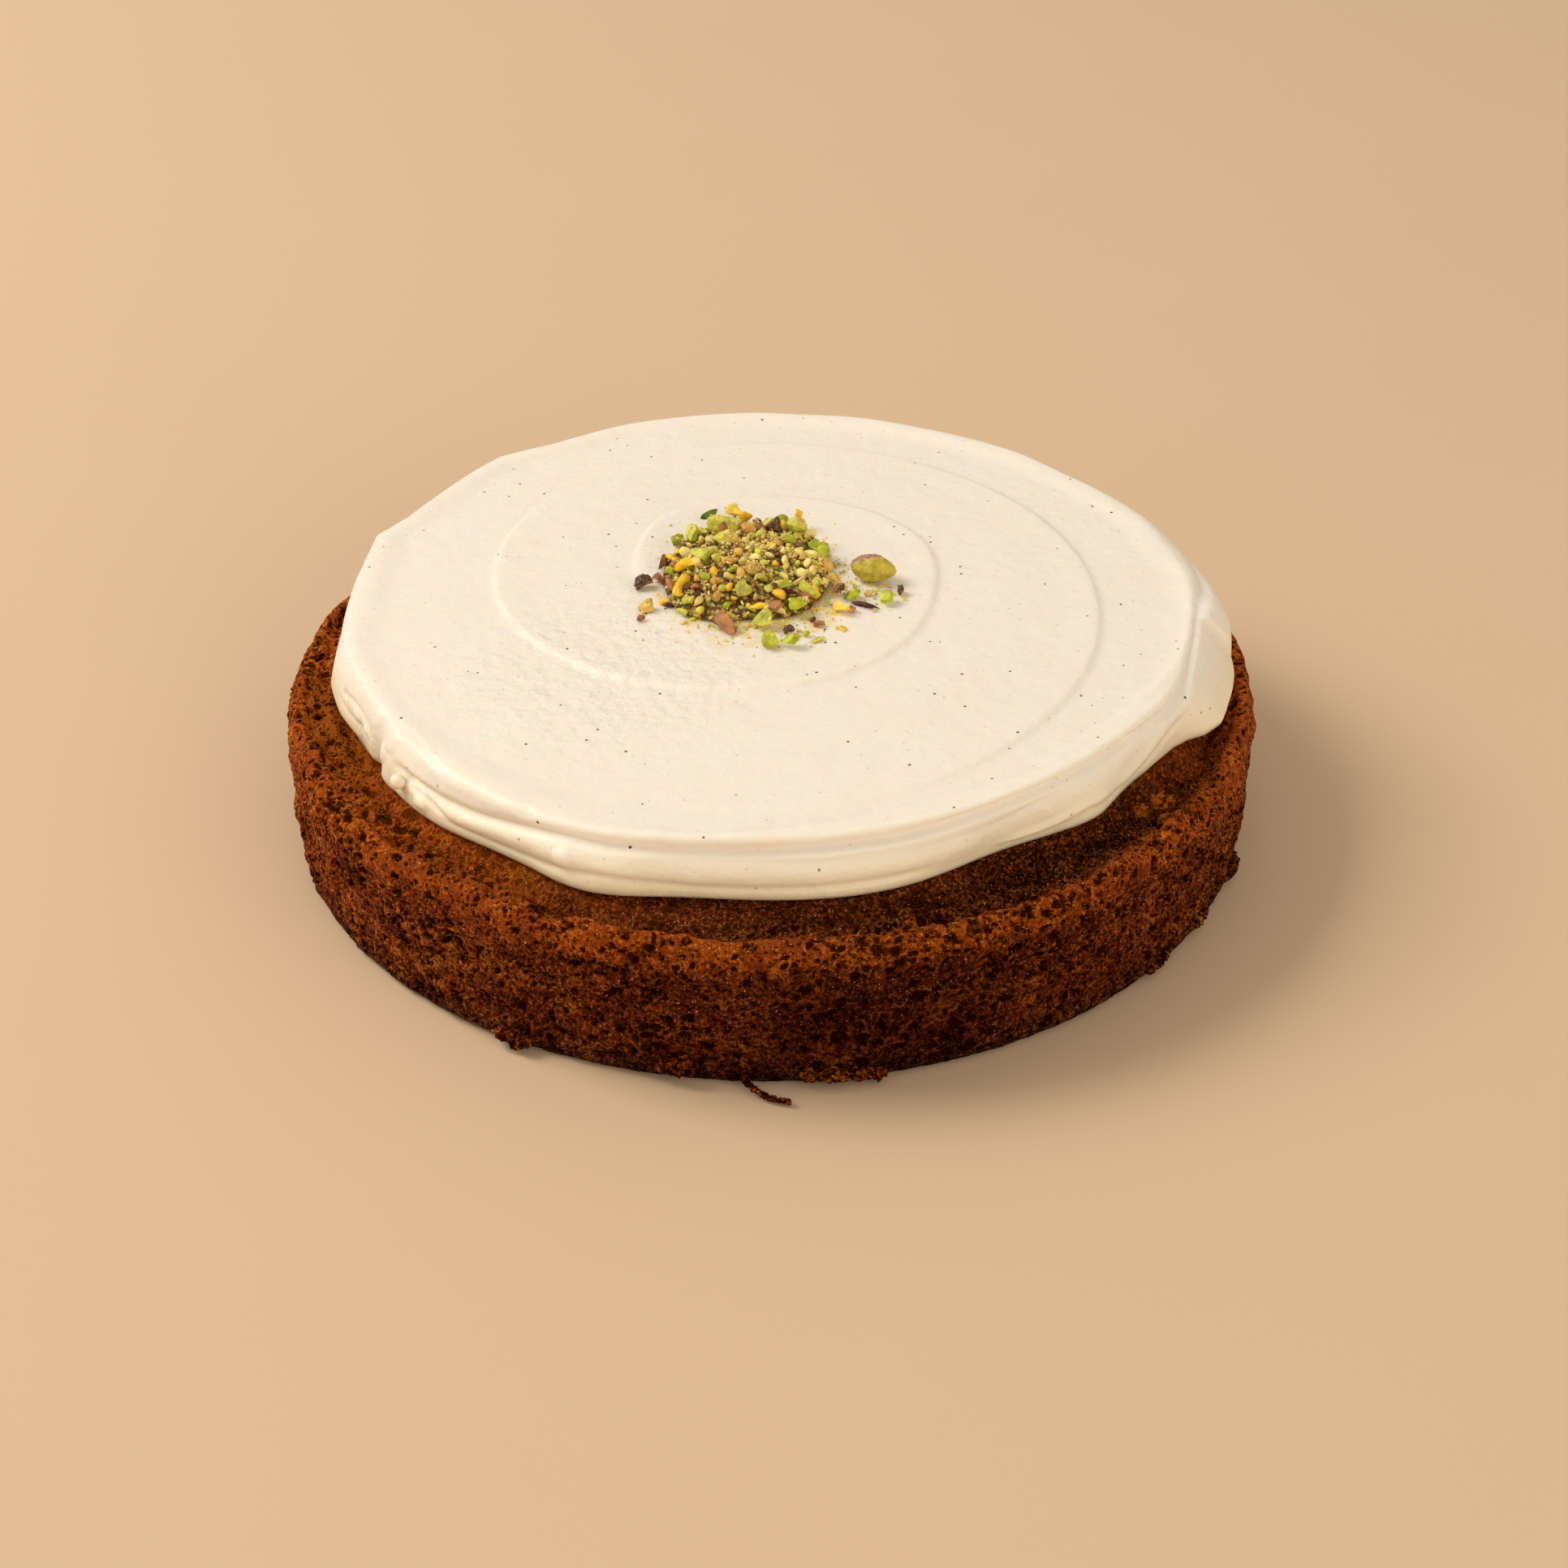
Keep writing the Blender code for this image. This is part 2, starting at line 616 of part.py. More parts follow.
def heap_top(x, y):
    """Height of the heap's core over a point of the cream, without its bumps."""
    across = (x - HEAP_MIDDLE[0]) / HEAP_STRETCH[0]
    along = (y - HEAP_MIDDLE[1]) / HEAP_STRETCH[1]
    share = math.hypot(across, along) / heap_outline(math.degrees(math.atan2(along, across)))
    return cream_top(x, y) + GAP + HEAP_HEIGHT * curve_through(HEAP_STEPS, share)


def build_heap(material):
    """The heap: a bumpy low core with the larger chopped pieces and some rubble fused on."""
    angles = [360.0 * column / HEAP_COLUMNS for column in range(HEAP_COLUMNS)]
    rings = []
    for share, rise in [(0.6, 0.0), (0.99, 0.0)] + HEAP_STEPS[:0:-1]:
        ring = []
        for angle in angles:
            x, y = around(angle, heap_outline(angle) * share)
            x = x * HEAP_STRETCH[0] + HEAP_MIDDLE[0]
            y = y * HEAP_STRETCH[1] + HEAP_MIDDLE[1]
            bump = HEAP_BUMP * noise.noise(Vector((x, y, 0.0)) / 3.1) * smooth_step(0.1, 0.6, rise)
            ring.append((x, y, cream_top(x, y) + GAP + HEAP_HEIGHT * rise + bump))
        rings.append(ring)
    floor = cream_top(*HEAP_MIDDLE) + GAP
    caps = ((*HEAP_MIDDLE, floor), (*HEAP_MIDDLE, floor + HEAP_HEIGHT))
    heap = ring_mesh("pistachio_heap", rings, caps, material)
    fuse(heap, heap_pieces())
    return heap


def heap_pieces():
    """Named chunks on the heap, then rubble spread evenly over it by a sunflower rule."""
    draw = random.Random(29)
    pieces = []
    for x, y, turn, length, width, thickness in HEAP_CHUNKS:
        place = (x, y, heap_top(x, y) + CHUNK_LIFT * thickness)
        pieces.append(chunk((length, width, thickness), place, turn, draw))
    for index in range(RUBBLE_COUNT):
        share = math.sqrt((index + 0.5) / RUBBLE_COUNT)
        x, y = around(index * GOLDEN_TURN, HEAP_RADIUS * 0.94 * share)
        x = x * HEAP_STRETCH[0] + HEAP_MIDDLE[0]
        y = y * HEAP_STRETCH[1] + HEAP_MIDDLE[1]
        size = draw.uniform(*RUBBLE_SIZE)
        place = (x, y, heap_top(x, y) + 0.1 * size)
        pieces.append(chunk((size, size * 0.8, size * 0.8), place, draw.uniform(0, 180), draw, 9))
    return pieces


def build_kernel(material):
    """The one whole kernel: a long bean with a pointed end, lying on the cream."""
    columns, rows = 16, 8
    length, width, height = KERNEL_SIZE
    x0, y0 = KERNEL_PLACE
    z0 = cream_top(x0, y0) + height / 2 + GAP
    turn = Matrix.Rotation(math.radians(KERNEL_TURN), 3, "Z")
    rings = []
    for row in range(1, rows):
        along = math.cos(math.pi * row / rows)
        across = math.sin(math.pi * row / rows) ** 0.85
        point = 1.0 - 0.22 * smooth_step(0.0, 1.0, along)
        ring = []
        for column in range(columns):
            side, up = around(360.0 * column / columns, across * point)
            crease = 1.0 - 0.07 * math.exp(-((side / 0.2) ** 2))
            spot = turn @ Vector((along * length / 2, -side * width / 2, up * crease * height / 2))
            ring.append((x0 + spot.x, y0 + spot.y, z0 + spot.z))
        rings.append(ring)
    ends = [turn @ Vector((reach * length / 2, 0.0, 0.0)) for reach in (1.06, -1.0)]
    caps = [(x0 + end.x, y0 + end.y, z0) for end in ends]
    return ring_mesh("pistachio_kernel", rings, caps, material)


def main():
    """Build every piece of the cake."""
    for old in list(bpy.data.objects):
        bpy.data.objects.remove(old, do_unlink=True)
    build_cake(make_material("cake_crumb"))
    build_cream(make_material("cream"))
    build_heap(make_material("nut_pieces"))
    build_kernel(make_material("nut_kernel"))


main()
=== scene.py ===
# %% [markdown]
# # A pistachio cake under soft cream
# The real thing is an uncut round cake from a ten-inch tin, with a dark porous crust, a thick round of
# vanilla cream spread with a spatula, and a small heap of chopped pistachios in the middle.
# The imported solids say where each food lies. This script makes the food itself around them: each piece is
# built in the same place as its solid, then given a finish that is worked out from real sizes in millimetres.

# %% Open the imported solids
import json
import math
import random

import bmesh
import bpy
import numpy as np
from mathutils import Matrix, Vector, noise
from mathutils.geometry import delaunay_2d_cdt

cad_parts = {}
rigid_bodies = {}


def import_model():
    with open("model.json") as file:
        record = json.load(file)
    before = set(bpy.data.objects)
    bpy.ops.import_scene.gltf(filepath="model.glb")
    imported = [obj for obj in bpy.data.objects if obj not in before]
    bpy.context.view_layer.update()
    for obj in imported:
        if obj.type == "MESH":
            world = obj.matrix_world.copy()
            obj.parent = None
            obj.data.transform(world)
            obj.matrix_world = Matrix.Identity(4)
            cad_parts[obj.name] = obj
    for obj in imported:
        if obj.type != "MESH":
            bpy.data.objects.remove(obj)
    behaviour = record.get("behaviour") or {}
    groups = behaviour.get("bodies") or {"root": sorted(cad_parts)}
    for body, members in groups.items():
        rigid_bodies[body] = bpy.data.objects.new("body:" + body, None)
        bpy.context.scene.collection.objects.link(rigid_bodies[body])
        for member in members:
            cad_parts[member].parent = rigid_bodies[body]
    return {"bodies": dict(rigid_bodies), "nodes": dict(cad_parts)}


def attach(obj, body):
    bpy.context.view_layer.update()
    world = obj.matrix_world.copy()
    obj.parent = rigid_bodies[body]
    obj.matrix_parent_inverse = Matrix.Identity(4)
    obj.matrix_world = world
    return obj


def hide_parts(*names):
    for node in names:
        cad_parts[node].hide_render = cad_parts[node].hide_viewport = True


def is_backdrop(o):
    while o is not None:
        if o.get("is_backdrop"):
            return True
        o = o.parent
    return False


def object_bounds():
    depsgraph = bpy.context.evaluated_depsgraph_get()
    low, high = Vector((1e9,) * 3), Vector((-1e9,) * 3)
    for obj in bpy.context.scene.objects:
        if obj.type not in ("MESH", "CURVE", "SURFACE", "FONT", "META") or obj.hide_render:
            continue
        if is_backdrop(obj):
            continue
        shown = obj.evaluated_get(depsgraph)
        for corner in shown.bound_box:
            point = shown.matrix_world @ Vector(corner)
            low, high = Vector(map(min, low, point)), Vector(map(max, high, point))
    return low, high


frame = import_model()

cad_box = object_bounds()
kept = set(frame["nodes"].values()) | set(frame["bodies"].values())
for thing in list(bpy.data.objects):
    if thing not in kept:
        bpy.data.objects.remove(thing, do_unlink=True)
print("solids:", sorted(frame["nodes"]))

# %% [markdown]
# ## Small tools
# Sizes are written in millimetres, as a baker would measure them, and turned to metres once, when a mesh is
# made. Colours are written as sRGB codes and turned to the linear values that the renderer works with. Smooth
# steps and swellings round the cake are enough to describe most of its uneven outline.

# %% Measures, colours and nodes
MM = 0.001


def colour(code):
    """Linear colour from an sRGB code such as #c08040."""
    parts = [int(code[place:place + 2], 16) / 255 for place in (1, 3, 5)]
    linear = [part / 12.92 if part <= 0.04045 else ((part + 0.055) / 1.055) ** 2.4 for part in parts]
    return (*linear, 1.0)


def wire(tree, node, links):
    """Give inputs, by name or number, their values. A value can be a node or one of its outputs."""
    for name, value in links.items():
        if isinstance(value, bpy.types.Node):
            value = value.outputs[0]
        if isinstance(value, bpy.types.NodeSocket):
            tree.links.new(value, node.inputs[name])
        else:
            node.inputs[name].default_value = value


def add(tree, kind, links=None, **settings):
    """Add a node with its settings and its inputs."""
    node = tree.nodes.new(kind)
    for name, value in settings.items():
        setattr(node, name, value)
    wire(tree, node, links or {})
    return node


def new_finish(name):
    """A new material, its node tree and its shader."""
    material = bpy.data.materials.new(name)
    material.use_nodes = True
    return material, material.node_tree, material.node_tree.nodes["Principled BSDF"]


def new_mesh(name, points, faces, attributes=None):
    """A smooth mesh from points in millimetres, with a value or vector for each point in each attribute."""
    mesh = bpy.data.meshes.new(name)
    mesh.from_pydata((np.asarray(points, float) * MM).tolist(), [], faces)
    for key, values in (attributes or {}).items():
        values = np.asarray(values, np.float32)
        kind, field = ("FLOAT_VECTOR", "vector") if values.ndim == 2 else ("FLOAT", "value")
        mesh.attributes.new(key, kind, "POINT").data.foreach_set(field, values.ravel())
    mesh.shade_smooth()
    mesh.update()
    return mesh


def new_object(name, data):
    """Put a mesh, a light or a camera in the scene."""
    thing = bpy.data.objects.new(name, data)
    bpy.context.scene.collection.objects.link(thing)
    return thing


def new_piece(name, mesh, material, replaced=None):
    """Put a finished mesh in the scene, riding on the frame."""
    piece = new_object(name, mesh)
    mesh.materials.clear()
    mesh.materials.append(material)
    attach(piece, "root")
    if replaced:
        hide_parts(replaced)
    triangles = sum(len(face.vertices) - 2 for face in mesh.polygons)
    print(f"{name}: {len(mesh.vertices)} points, {triangles} triangles")


def smooth_step(start, end, value):
    """Rise from 0 to 1 between start and end."""
    share = np.clip((value - start) / (end - start), 0.0, 1.0)
    return share * share * (3.0 - 2.0 * share)


def lobes(angle, table):
    """Sum of smooth swellings round the cake, each (middle angle, half-width, height)."""
    total = 0.0
    for middle, width, height in table:
        away = (angle - middle + 180.0) % 360.0 - 180.0
        total = total + height * np.exp(-((away / width) ** 2))
    return total


def ripple(points, size, seed=0.0):
    """Smooth noise at each point, with lumps about that many millimetres across."""
    return np.array([noise.noise(Vector((x / size + seed, y / size, z / size))) for x, y, z in points])


def curve_through(points, at):
    """Height at a place on a smooth curve through (place, height) points."""
    for index in range(len(points) - 1):
        if at <= points[index + 1][0]:
            break
    before = points[max(index - 1, 0)]
    start, end = points[index], points[index + 1]
    after = points[min(index + 2, len(points) - 1)]
    span = end[0] - start[0]
    share = min(max((at - start[0]) / span, 0.0), 1.0)
    slope_in = (end[1] - before[1]) / (end[0] - before[0]) * span
    slope_out = (after[1] - start[1]) / (after[0] - start[0]) * span
    square, cube = share * share, share * share * share
    value = (2 * cube - 3 * square + 1) * start[1] + (cube - 2 * square + share) * slope_in
    return value + (3 * square - 2 * cube) * end[1] + (cube - square) * slope_out


# %% [markdown]
# ## The shapes that the solids were built from
# The solids are rather coarse, so the food is worked out again from the same measures, on finer meshes. These
# are the tin's size, the rim that rose above a gutter, the cream's outline and the spatula's path. Angles are
# in degrees from the right, counter-clockwise seen from above, so the front of the cake is at 270.

# %% Measures of the cake and the cream
SIDE_RADIUS = 125.0
FOOT_RADIUS = 124.4
BASE_RADIUS = 121.0
FOOT_HEIGHT = 5.5
SHOULDER_HEIGHT = 31.5
RIM_HEIGHT = 39.6
RIM_RADIUS = 120.8
RIM_SHIFTS = [(4, 26, 2.6)]
RIM_RISES = [(4, 26, 1.9), (248, 12, 0.5)]
SIDE_SHIFTS = [(356, 24, 1.0)]
DOME_HEIGHT = 46.3
DOME_DROP = 6.3
DOME_RADIUS = 110.0
GUTTER_RADIUS = 112.0
GUTTER_WIDTH = 2.2
GUTTER_SHIFTS = [(258, 16, 6.5), (306, 16, -6.0), (190, 20, -3.5), (350, 14, 3.0)]
GUTTER_DEPTH = 2.4
GUTTER_DEPTHS = [(270, 32, -1.5), (222, 14, -1.8), (190, 18, 1.6), (346, 16, 2.2)]
CRAG_HEIGHT = 1.3
CRAG_SIZE = 12.0
CRUST_LUMPS = [
    (217, 110.5, 8.0, 1.6), (221, 115.5, 4.0, -2.6), (232, 115.0, 9.0, 1.5), (246, 119.0, 3.5, -2.0),
    (300, 109.0, 6.0, -1.4), (325, 116.0, 6.0, 1.4), (338, 113.5, 6.0, -1.8),
]
CREAM_RADIUS = 113.9
CREAM_SHIFT = (1.4, 6.4)
CREAM_LOBES = [
    (0, 15, 5.5), (180, 28, 1.1), (209, 2.6, -2.0), (248, 9, 4.8), (303, 14, -6.9), (328, 12, -6.3),
]
LIP_RADIUS = 111.7
LIP_SHIFT = 7.2
LIP_LOBES = [(247, 14, 2.6), (316, 40, -3.6), (352, 14, -1.2), (200, 18, -3.4)]
LIP_HEIGHT = 56.4
CREAM_MIDDLE = 59.4
CREAM_DROP = 3.6
EDGE_HEIGHT = 43.4
TUCK_HEIGHT = 41.4
GAP = 0.4


def dome(radius):
    """Top of the cake under the cream."""
    share = np.minimum(radius / DOME_RADIUS, 1.0)
    return DOME_HEIGHT - DOME_DROP * share * share


def cream_edge(angle):
    """Radius of the cream where it is widest."""
    turn = np.radians(angle)
    shift = CREAM_SHIFT[0] * np.cos(turn) + CREAM_SHIFT[1] * np.sin(turn)
    return CREAM_RADIUS + shift + lobes(angle, CREAM_LOBES)


def lip_radius(angle):
    """Radius of the crest of the cream's rim."""
    return LIP_RADIUS + LIP_SHIFT * np.sin(np.radians(angle)) + lobes(angle, LIP_LOBES)


# %% [markdown]
# ## Cake crumb, seen from outside
# The crust of a nut cake is dark where the sugar browned and full of holes where bubbles of batter met the
# tin. Three sizes of holes do this: bubbles about 4 mm apart, finer ones about 2 mm apart and pinholes about
# 1 mm apart. The pattern is read twice, once to push the two larger sizes into the mesh and once to paint
# shade into all three, so the two always agree. Both read where the point lay before it was pushed, which the
# mesh carries as the attribute rest.

# %% The pattern of holes
HOLE_SIZES = [(4.4, -0.12, 0.46), (2.3, 0.05, 0.52), (1.25, 0.10, 0.56)]
HOLE_STRETCH = 1.3
HOLE_BENDS = ((0.22, 3.2), (0.75, 0.9))


def crumb_holes(tree, place, sizes):
    """Holes from 0 to 1 at a place in metres, one node for each (spacing, least and most reach)."""
    scaled = add(tree, "ShaderNodeVectorMath", {0: place, 3: 1.0 / MM}, operation="SCALE")
    bent = scaled
    for scale, reach in HOLE_BENDS:
        warp = add(tree, "ShaderNodeTexNoise", {"Vector": scaled, "Scale": scale, "Detail": 1.0})
        centred = add(tree, "ShaderNodeVectorMath", {0: warp.outputs["Color"], 1: (0.5, 0.5, 0.5)},
                      operation="SUBTRACT")
        push = add(tree, "ShaderNodeVectorMath", {0: centred, 3: reach}, operation="SCALE")
        bent = add(tree, "ShaderNodeVectorMath", {0: bent, 1: push}, operation="ADD")
    flat = add(tree, "ShaderNodeVectorMath", {0: bent, 1: (1.0, 1.0, HOLE_STRETCH)}, operation="MULTIPLY")
    crowd = add(tree, "ShaderNodeTexNoise", {"Vector": scaled, "Scale": 0.045, "Detail": 2.0})
    crowd = add(tree, "ShaderNodeMapRange", {0: crowd, 1: 0.3, 2: 0.7, 3: -0.1, 4: 0.07})
    found = []
    for spacing, least, most in sizes:
        cells = add(tree, "ShaderNodeTexVoronoi", {"Vector": flat, "Scale": 1.0 / spacing})
        chance = add(tree, "ShaderNodeSeparateXYZ", {0: cells.outputs["Color"]})
        reach = add(tree, "ShaderNodeMapRange", {0: chance, 3: least, 4: most})
        reach = add(tree, "ShaderNodeMath", {0: reach, 1: crowd}, operation="ADD")
        depth = add(tree, "ShaderNodeMath", {0: reach, 1: cells.outputs["Distance"]}, operation="SUBTRACT")
        found.append(add(tree, "ShaderNodeMapRange", {0: depth, 1: -0.07, 2: 0.12},
                         interpolation_type="SMOOTHSTEP"))
    return found


# %% [markdown]
# ### The finish of the crust
# Baked crumb is matt, with a little shine where sugar melted. It is made as four browns that meet in patches
# of three sizes, almost black at the foot where it charred, darkened in the holes with painted shade, lighter
# and warmer on the rim (partly a lighter crust, partly painted light where the rim faces up), and golden
# where the crust in the gutter stayed pale. The front is darker and redder: partly a darker bake, partly
# painted shade on the sides turned from the light. The strip of crust between rim and cream at the front
# carries a painted shadow of the cream. Tiny pale specks stand for glossy sugar crystals of about a third of
# a millimetre, with their glint also painted into the colour.

# %% Browns of the crust
def crust_browns(tree, height, patches, blotches, grain):
    """Four browns in patches, lighter on the rim, partly with painted light, and golden where the crust
    stayed pale.
    """
    blend = add(tree, "ShaderNodeMath", {0: patches, 1: 0.7, 2: blotches}, operation="MULTIPLY_ADD")
    blend = add(tree, "ShaderNodeMath", {0: grain, 1: 2.2, 2: blend}, operation="MULTIPLY_ADD")
    spread = add(tree, "ShaderNodeMapRange", {0: blend, 1: 1.56, 2: 2.3})
    browns = add(tree, "ShaderNodeValToRGB", {0: spread})
    ramp = browns.color_ramp
    ramp.elements[0].color = colour("#3c0d00")
    ramp.elements[1].color = colour("#ee9834")
    ramp.elements.new(0.42).color = colour("#863402")
    ramp.elements.new(0.68).color = colour("#ae5208")
    # Lighter and warmer on the rim: partly a lighter crust, partly painted light where the rim faces up.
    rim = add(tree, "ShaderNodeMapRange", {0: height, 1: 0.029, 2: 0.038, 4: 0.38},
              interpolation_type="SMOOTHSTEP")
    warmer = add(tree, "ShaderNodeMix", {0: rim, 6: browns, 7: colour("#d06c18")},
                 data_type="RGBA")
    pale = add(tree, "ShaderNodeMapRange", {0: patches, 1: 0.60, 2: 0.70, 4: 0.4})
    honey = add(tree, "ShaderNodeMix", {0: pale, 6: warmer.outputs[2], 7: colour("#a8640e")},
                data_type="RGBA")
    golden = add(tree, "ShaderNodeAttribute", attribute_name="golden")
    olive = add(tree, "ShaderNodeMix", {0: golden.outputs["Fac"], 6: honey.outputs[2], 7: colour("#a35907")},
                data_type="RGBA")
    return olive.outputs[2]


def charred_and_shaded_crust(tree, browns, height, grain):
    """The browns, charred at the foot, with painted shade on the sides turned from the light (partly a darker
    bake) and a painted shadow of the cream on the front strip.
    """
    foot = add(tree, "ShaderNodeMapRange", {0: height, 1: 0.012, 2: 0.0, 4: 0.9},
               interpolation_type="SMOOTHSTEP")
    # Crust that charred, and the painted shadow of the cream on the front strip.
    burnt_and_shadow = add(tree, "ShaderNodeAttribute", attribute_name="burnt_and_shadow")
    darker = add(tree, "ShaderNodeMath", {0: foot, 1: burnt_and_shadow.outputs["Fac"]}, operation="MAXIMUM")
    flecks = add(tree, "ShaderNodeMapRange", {0: grain, 1: 0.42, 2: 0.62, 3: 1.2, 4: 0.4})
    darker = add(tree, "ShaderNodeMath", {0: darker, 1: flecks}, operation="MULTIPLY", use_clamp=True)
    charred_and_shadowed = add(tree, "ShaderNodeMix", {0: darker, 6: browns, 7: colour("#2a0f04")},
                   data_type="RGBA")
    # Painted shade on the sides turned from the light, partly a darker bake; it also makes them redder.
    bake_and_shade = add(tree, "ShaderNodeAttribute", attribute_name="bake_and_shade")
    side_shade = add(tree, "ShaderNodeMix", {
        0: bake_and_shade.outputs["Fac"], 6: (1.07, 0.95, 0.92, 1.0), 7: (0.27, 0.19, 0.24, 1.0)}, data_type="RGBA")
    return add(tree, "ShaderNodeVectorMath", {0: charred_and_shadowed.outputs[2], 1: side_shade.outputs[2]},
               operation="MULTIPLY")


def sugar_crystals(tree, rest, height):
    """1 on tiny sugar crystals, whose glint is painted into the colour; they are fewer near the foot."""
    crystals = add(tree, "ShaderNodeTexVoronoi", {"Vector": rest, "Scale": 1.0 / (0.8 * MM)})
    chance = add(tree, "ShaderNodeSeparateXYZ", {0: crystals.outputs["Color"]})
    few = add(tree, "ShaderNodeMapRange", {0: chance, 1: 0.66, 2: 0.69})
    middle = add(tree, "ShaderNodeMapRange", {0: crystals.outputs["Distance"], 1: 0.27, 2: 0.14})
    speck = add(tree, "ShaderNodeMath", {0: few, 1: middle}, operation="MULTIPLY")
    speck = add(tree, "ShaderNodeMath", {0: speck, 1: chance.outputs[1]}, operation="MULTIPLY")
    zone = add(tree, "ShaderNodeMapRange", {0: height, 1: 0.012, 2: 0.034, 3: 0.2, 4: 1.0})
    return add(tree, "ShaderNodeMath", {0: speck, 1: zone}, operation="MULTIPLY")


# %% Baked crumb
def baked_crumb():
    material, tree, shader = new_finish("Baked nut cake crust")
    rest = add(tree, "ShaderNodeAttribute", attribute_name="rest").outputs["Vector"]
    coarse, fine, pins = crumb_holes(tree, rest, HOLE_SIZES)
    height = add(tree, "ShaderNodeSeparateXYZ", {0: rest}).outputs[2]
    patches = add(tree, "ShaderNodeTexNoise", {"Vector": rest, "Scale": 60.0, "Detail": 2.0})
    blotches = add(tree, "ShaderNodeTexNoise", {
        "Vector": rest, "Scale": 300.0, "Detail": 3.0, "Roughness": 0.6})
    grain = add(tree, "ShaderNodeTexNoise", {
        "Vector": rest, "Scale": 1100.0, "Detail": 3.0, "Roughness": 0.7})
    browns = crust_browns(tree, height, patches, blotches, grain)
    darkened_browns = charred_and_shaded_crust(tree, browns, height, grain)
    bare = add(tree, "ShaderNodeAttribute", attribute_name="bare")
    pin = add(tree, "ShaderNodeMath", {0: pins, 1: 0.8}, operation="MULTIPLY")
    holes = add(tree, "ShaderNodeMath", {0: coarse, 1: fine}, operation="MAXIMUM")
    holes = add(tree, "ShaderNodeMath", {0: holes, 1: pin}, operation="MAXIMUM")
    shown = add(tree, "ShaderNodeMapRange", {0: bare.outputs["Fac"], 2: 0.5})
    open_holes = add(tree, "ShaderNodeMath", {0: holes, 1: shown}, operation="MULTIPLY")
    # Painted shade: the holes darken towards near black, as shade falls into them.
    shaded = add(tree, "ShaderNodeMath", {0: open_holes, 1: 0.9}, operation="MULTIPLY")
    deep = add(tree, "ShaderNodeMix", {0: shaded, 6: darkened_browns, 7: colour("#200702")},
               data_type="RGBA")
    # Painted highlight: sugar crystals get a pale colour for their glint, as well as a real gloss.
    speck = sugar_crystals(tree, rest, height)
    painted_glints = add(tree, "ShaderNodeMix", {0: speck, 6: deep.outputs[2], 7: colour("#ffc078")},
                  data_type="RGBA")
    gloss = add(tree, "ShaderNodeMapRange", {0: speck, 3: 0.62, 4: 0.22})
    dull = add(tree, "ShaderNodeMapRange", {0: open_holes, 2: 0.6, 3: 0.08, 4: 0.0})
    shine = add(tree, "ShaderNodeMath", {0: speck, 1: 0.7, 2: dull}, operation="MULTIPLY_ADD")
    relief = add(tree, "ShaderNodeMath", {0: open_holes, 1: -1.3, 2: blotches}, operation="MULTIPLY_ADD")
    relief = add(tree, "ShaderNodeMath", {0: grain, 1: 1.7, 2: relief}, operation="MULTIPLY_ADD")
    bump = add(tree, "ShaderNodeBump", {"Height": relief, "Distance": 0.9 * MM, "Strength": 1.0})
    wire(tree, shader, {"Base Color": painted_glints.outputs[2], "Roughness": gloss,
                        "Specular IOR Level": shine, "Normal": bump})
    return material


crust_finish = baked_crumb()
print("finish:", crust_finish.name)

# %% [markdown]
# ## The cake's body
# A tin gives the cake a plain profile, so the body is a turned shape: rows go from the foot up the wall, over
# the rim, down the gutter and under the cream, with a point every 0.7 mm, which is about what the smaller of
# the two pushed holes needs. Lumps, dents and cracks are then added where they lie on the real crust. Each
# crack is its depth, its width and its path of (angle, radius).

# %% Rows of the turned shape
CAKE_COLUMNS = 1080
BASE_ROWS = (60.0, 100.0, 117.0)
FOOT_ROWS = 8
WALL_ROWS = 37
SHOULDER_ROWS = 13
RIM_ROWS = 12
GUTTER_ROWS = 7
COVERED_ROWS = (100.0, 92.0, 60.0, 30.0)
# Painted shade on the sides turned from the light, partly a darker bake.
DARKER_SIDES = [(283, 46, 1.0), (228, 25, 0.3), (335, 20, 0.35)]
GOLDEN_SIDES = [(196, 17, 0.9), (235, 10, 0.3)]
# Painted shadow of the cream on the strip of crust in front of it.
CREAM_SHADOW_SIDES = [(264, 24, 0.8), (312, 30, 1.0)]
CRACKS = [
    (1.5, 0.9, [(256, 117.0), (259.3, 118.3), (264.7, 118.5), (268.8, 117.4), (271.8, 115.8)]),
    (1.0, 0.8, [(271.8, 115.8), (275, 114.6), (277.2, 112.4)]),
    (1.8, 1.0, [(242.4, 123.0), (243.1, 120.0), (244, 115.5)]),
    (1.6, 0.9, [(296, 110.4), (298.7, 109.8), (301.9, 109.9), (305.7, 113.3), (309.6, 113.6),
                (314.3, 111.1)]),
    (1.4, 0.9, [(314.3, 111.1), (322.5, 112.9), (331.2, 111.9), (337.3, 112.5)]),
    (1.6, 0.8, [(219.0, 117.2), (221.5, 115.8), (224.0, 116.8)]),
    (1.4, 0.8, [(228.0, 121.5), (230.5, 118.4), (232.5, 117.0)]),
]


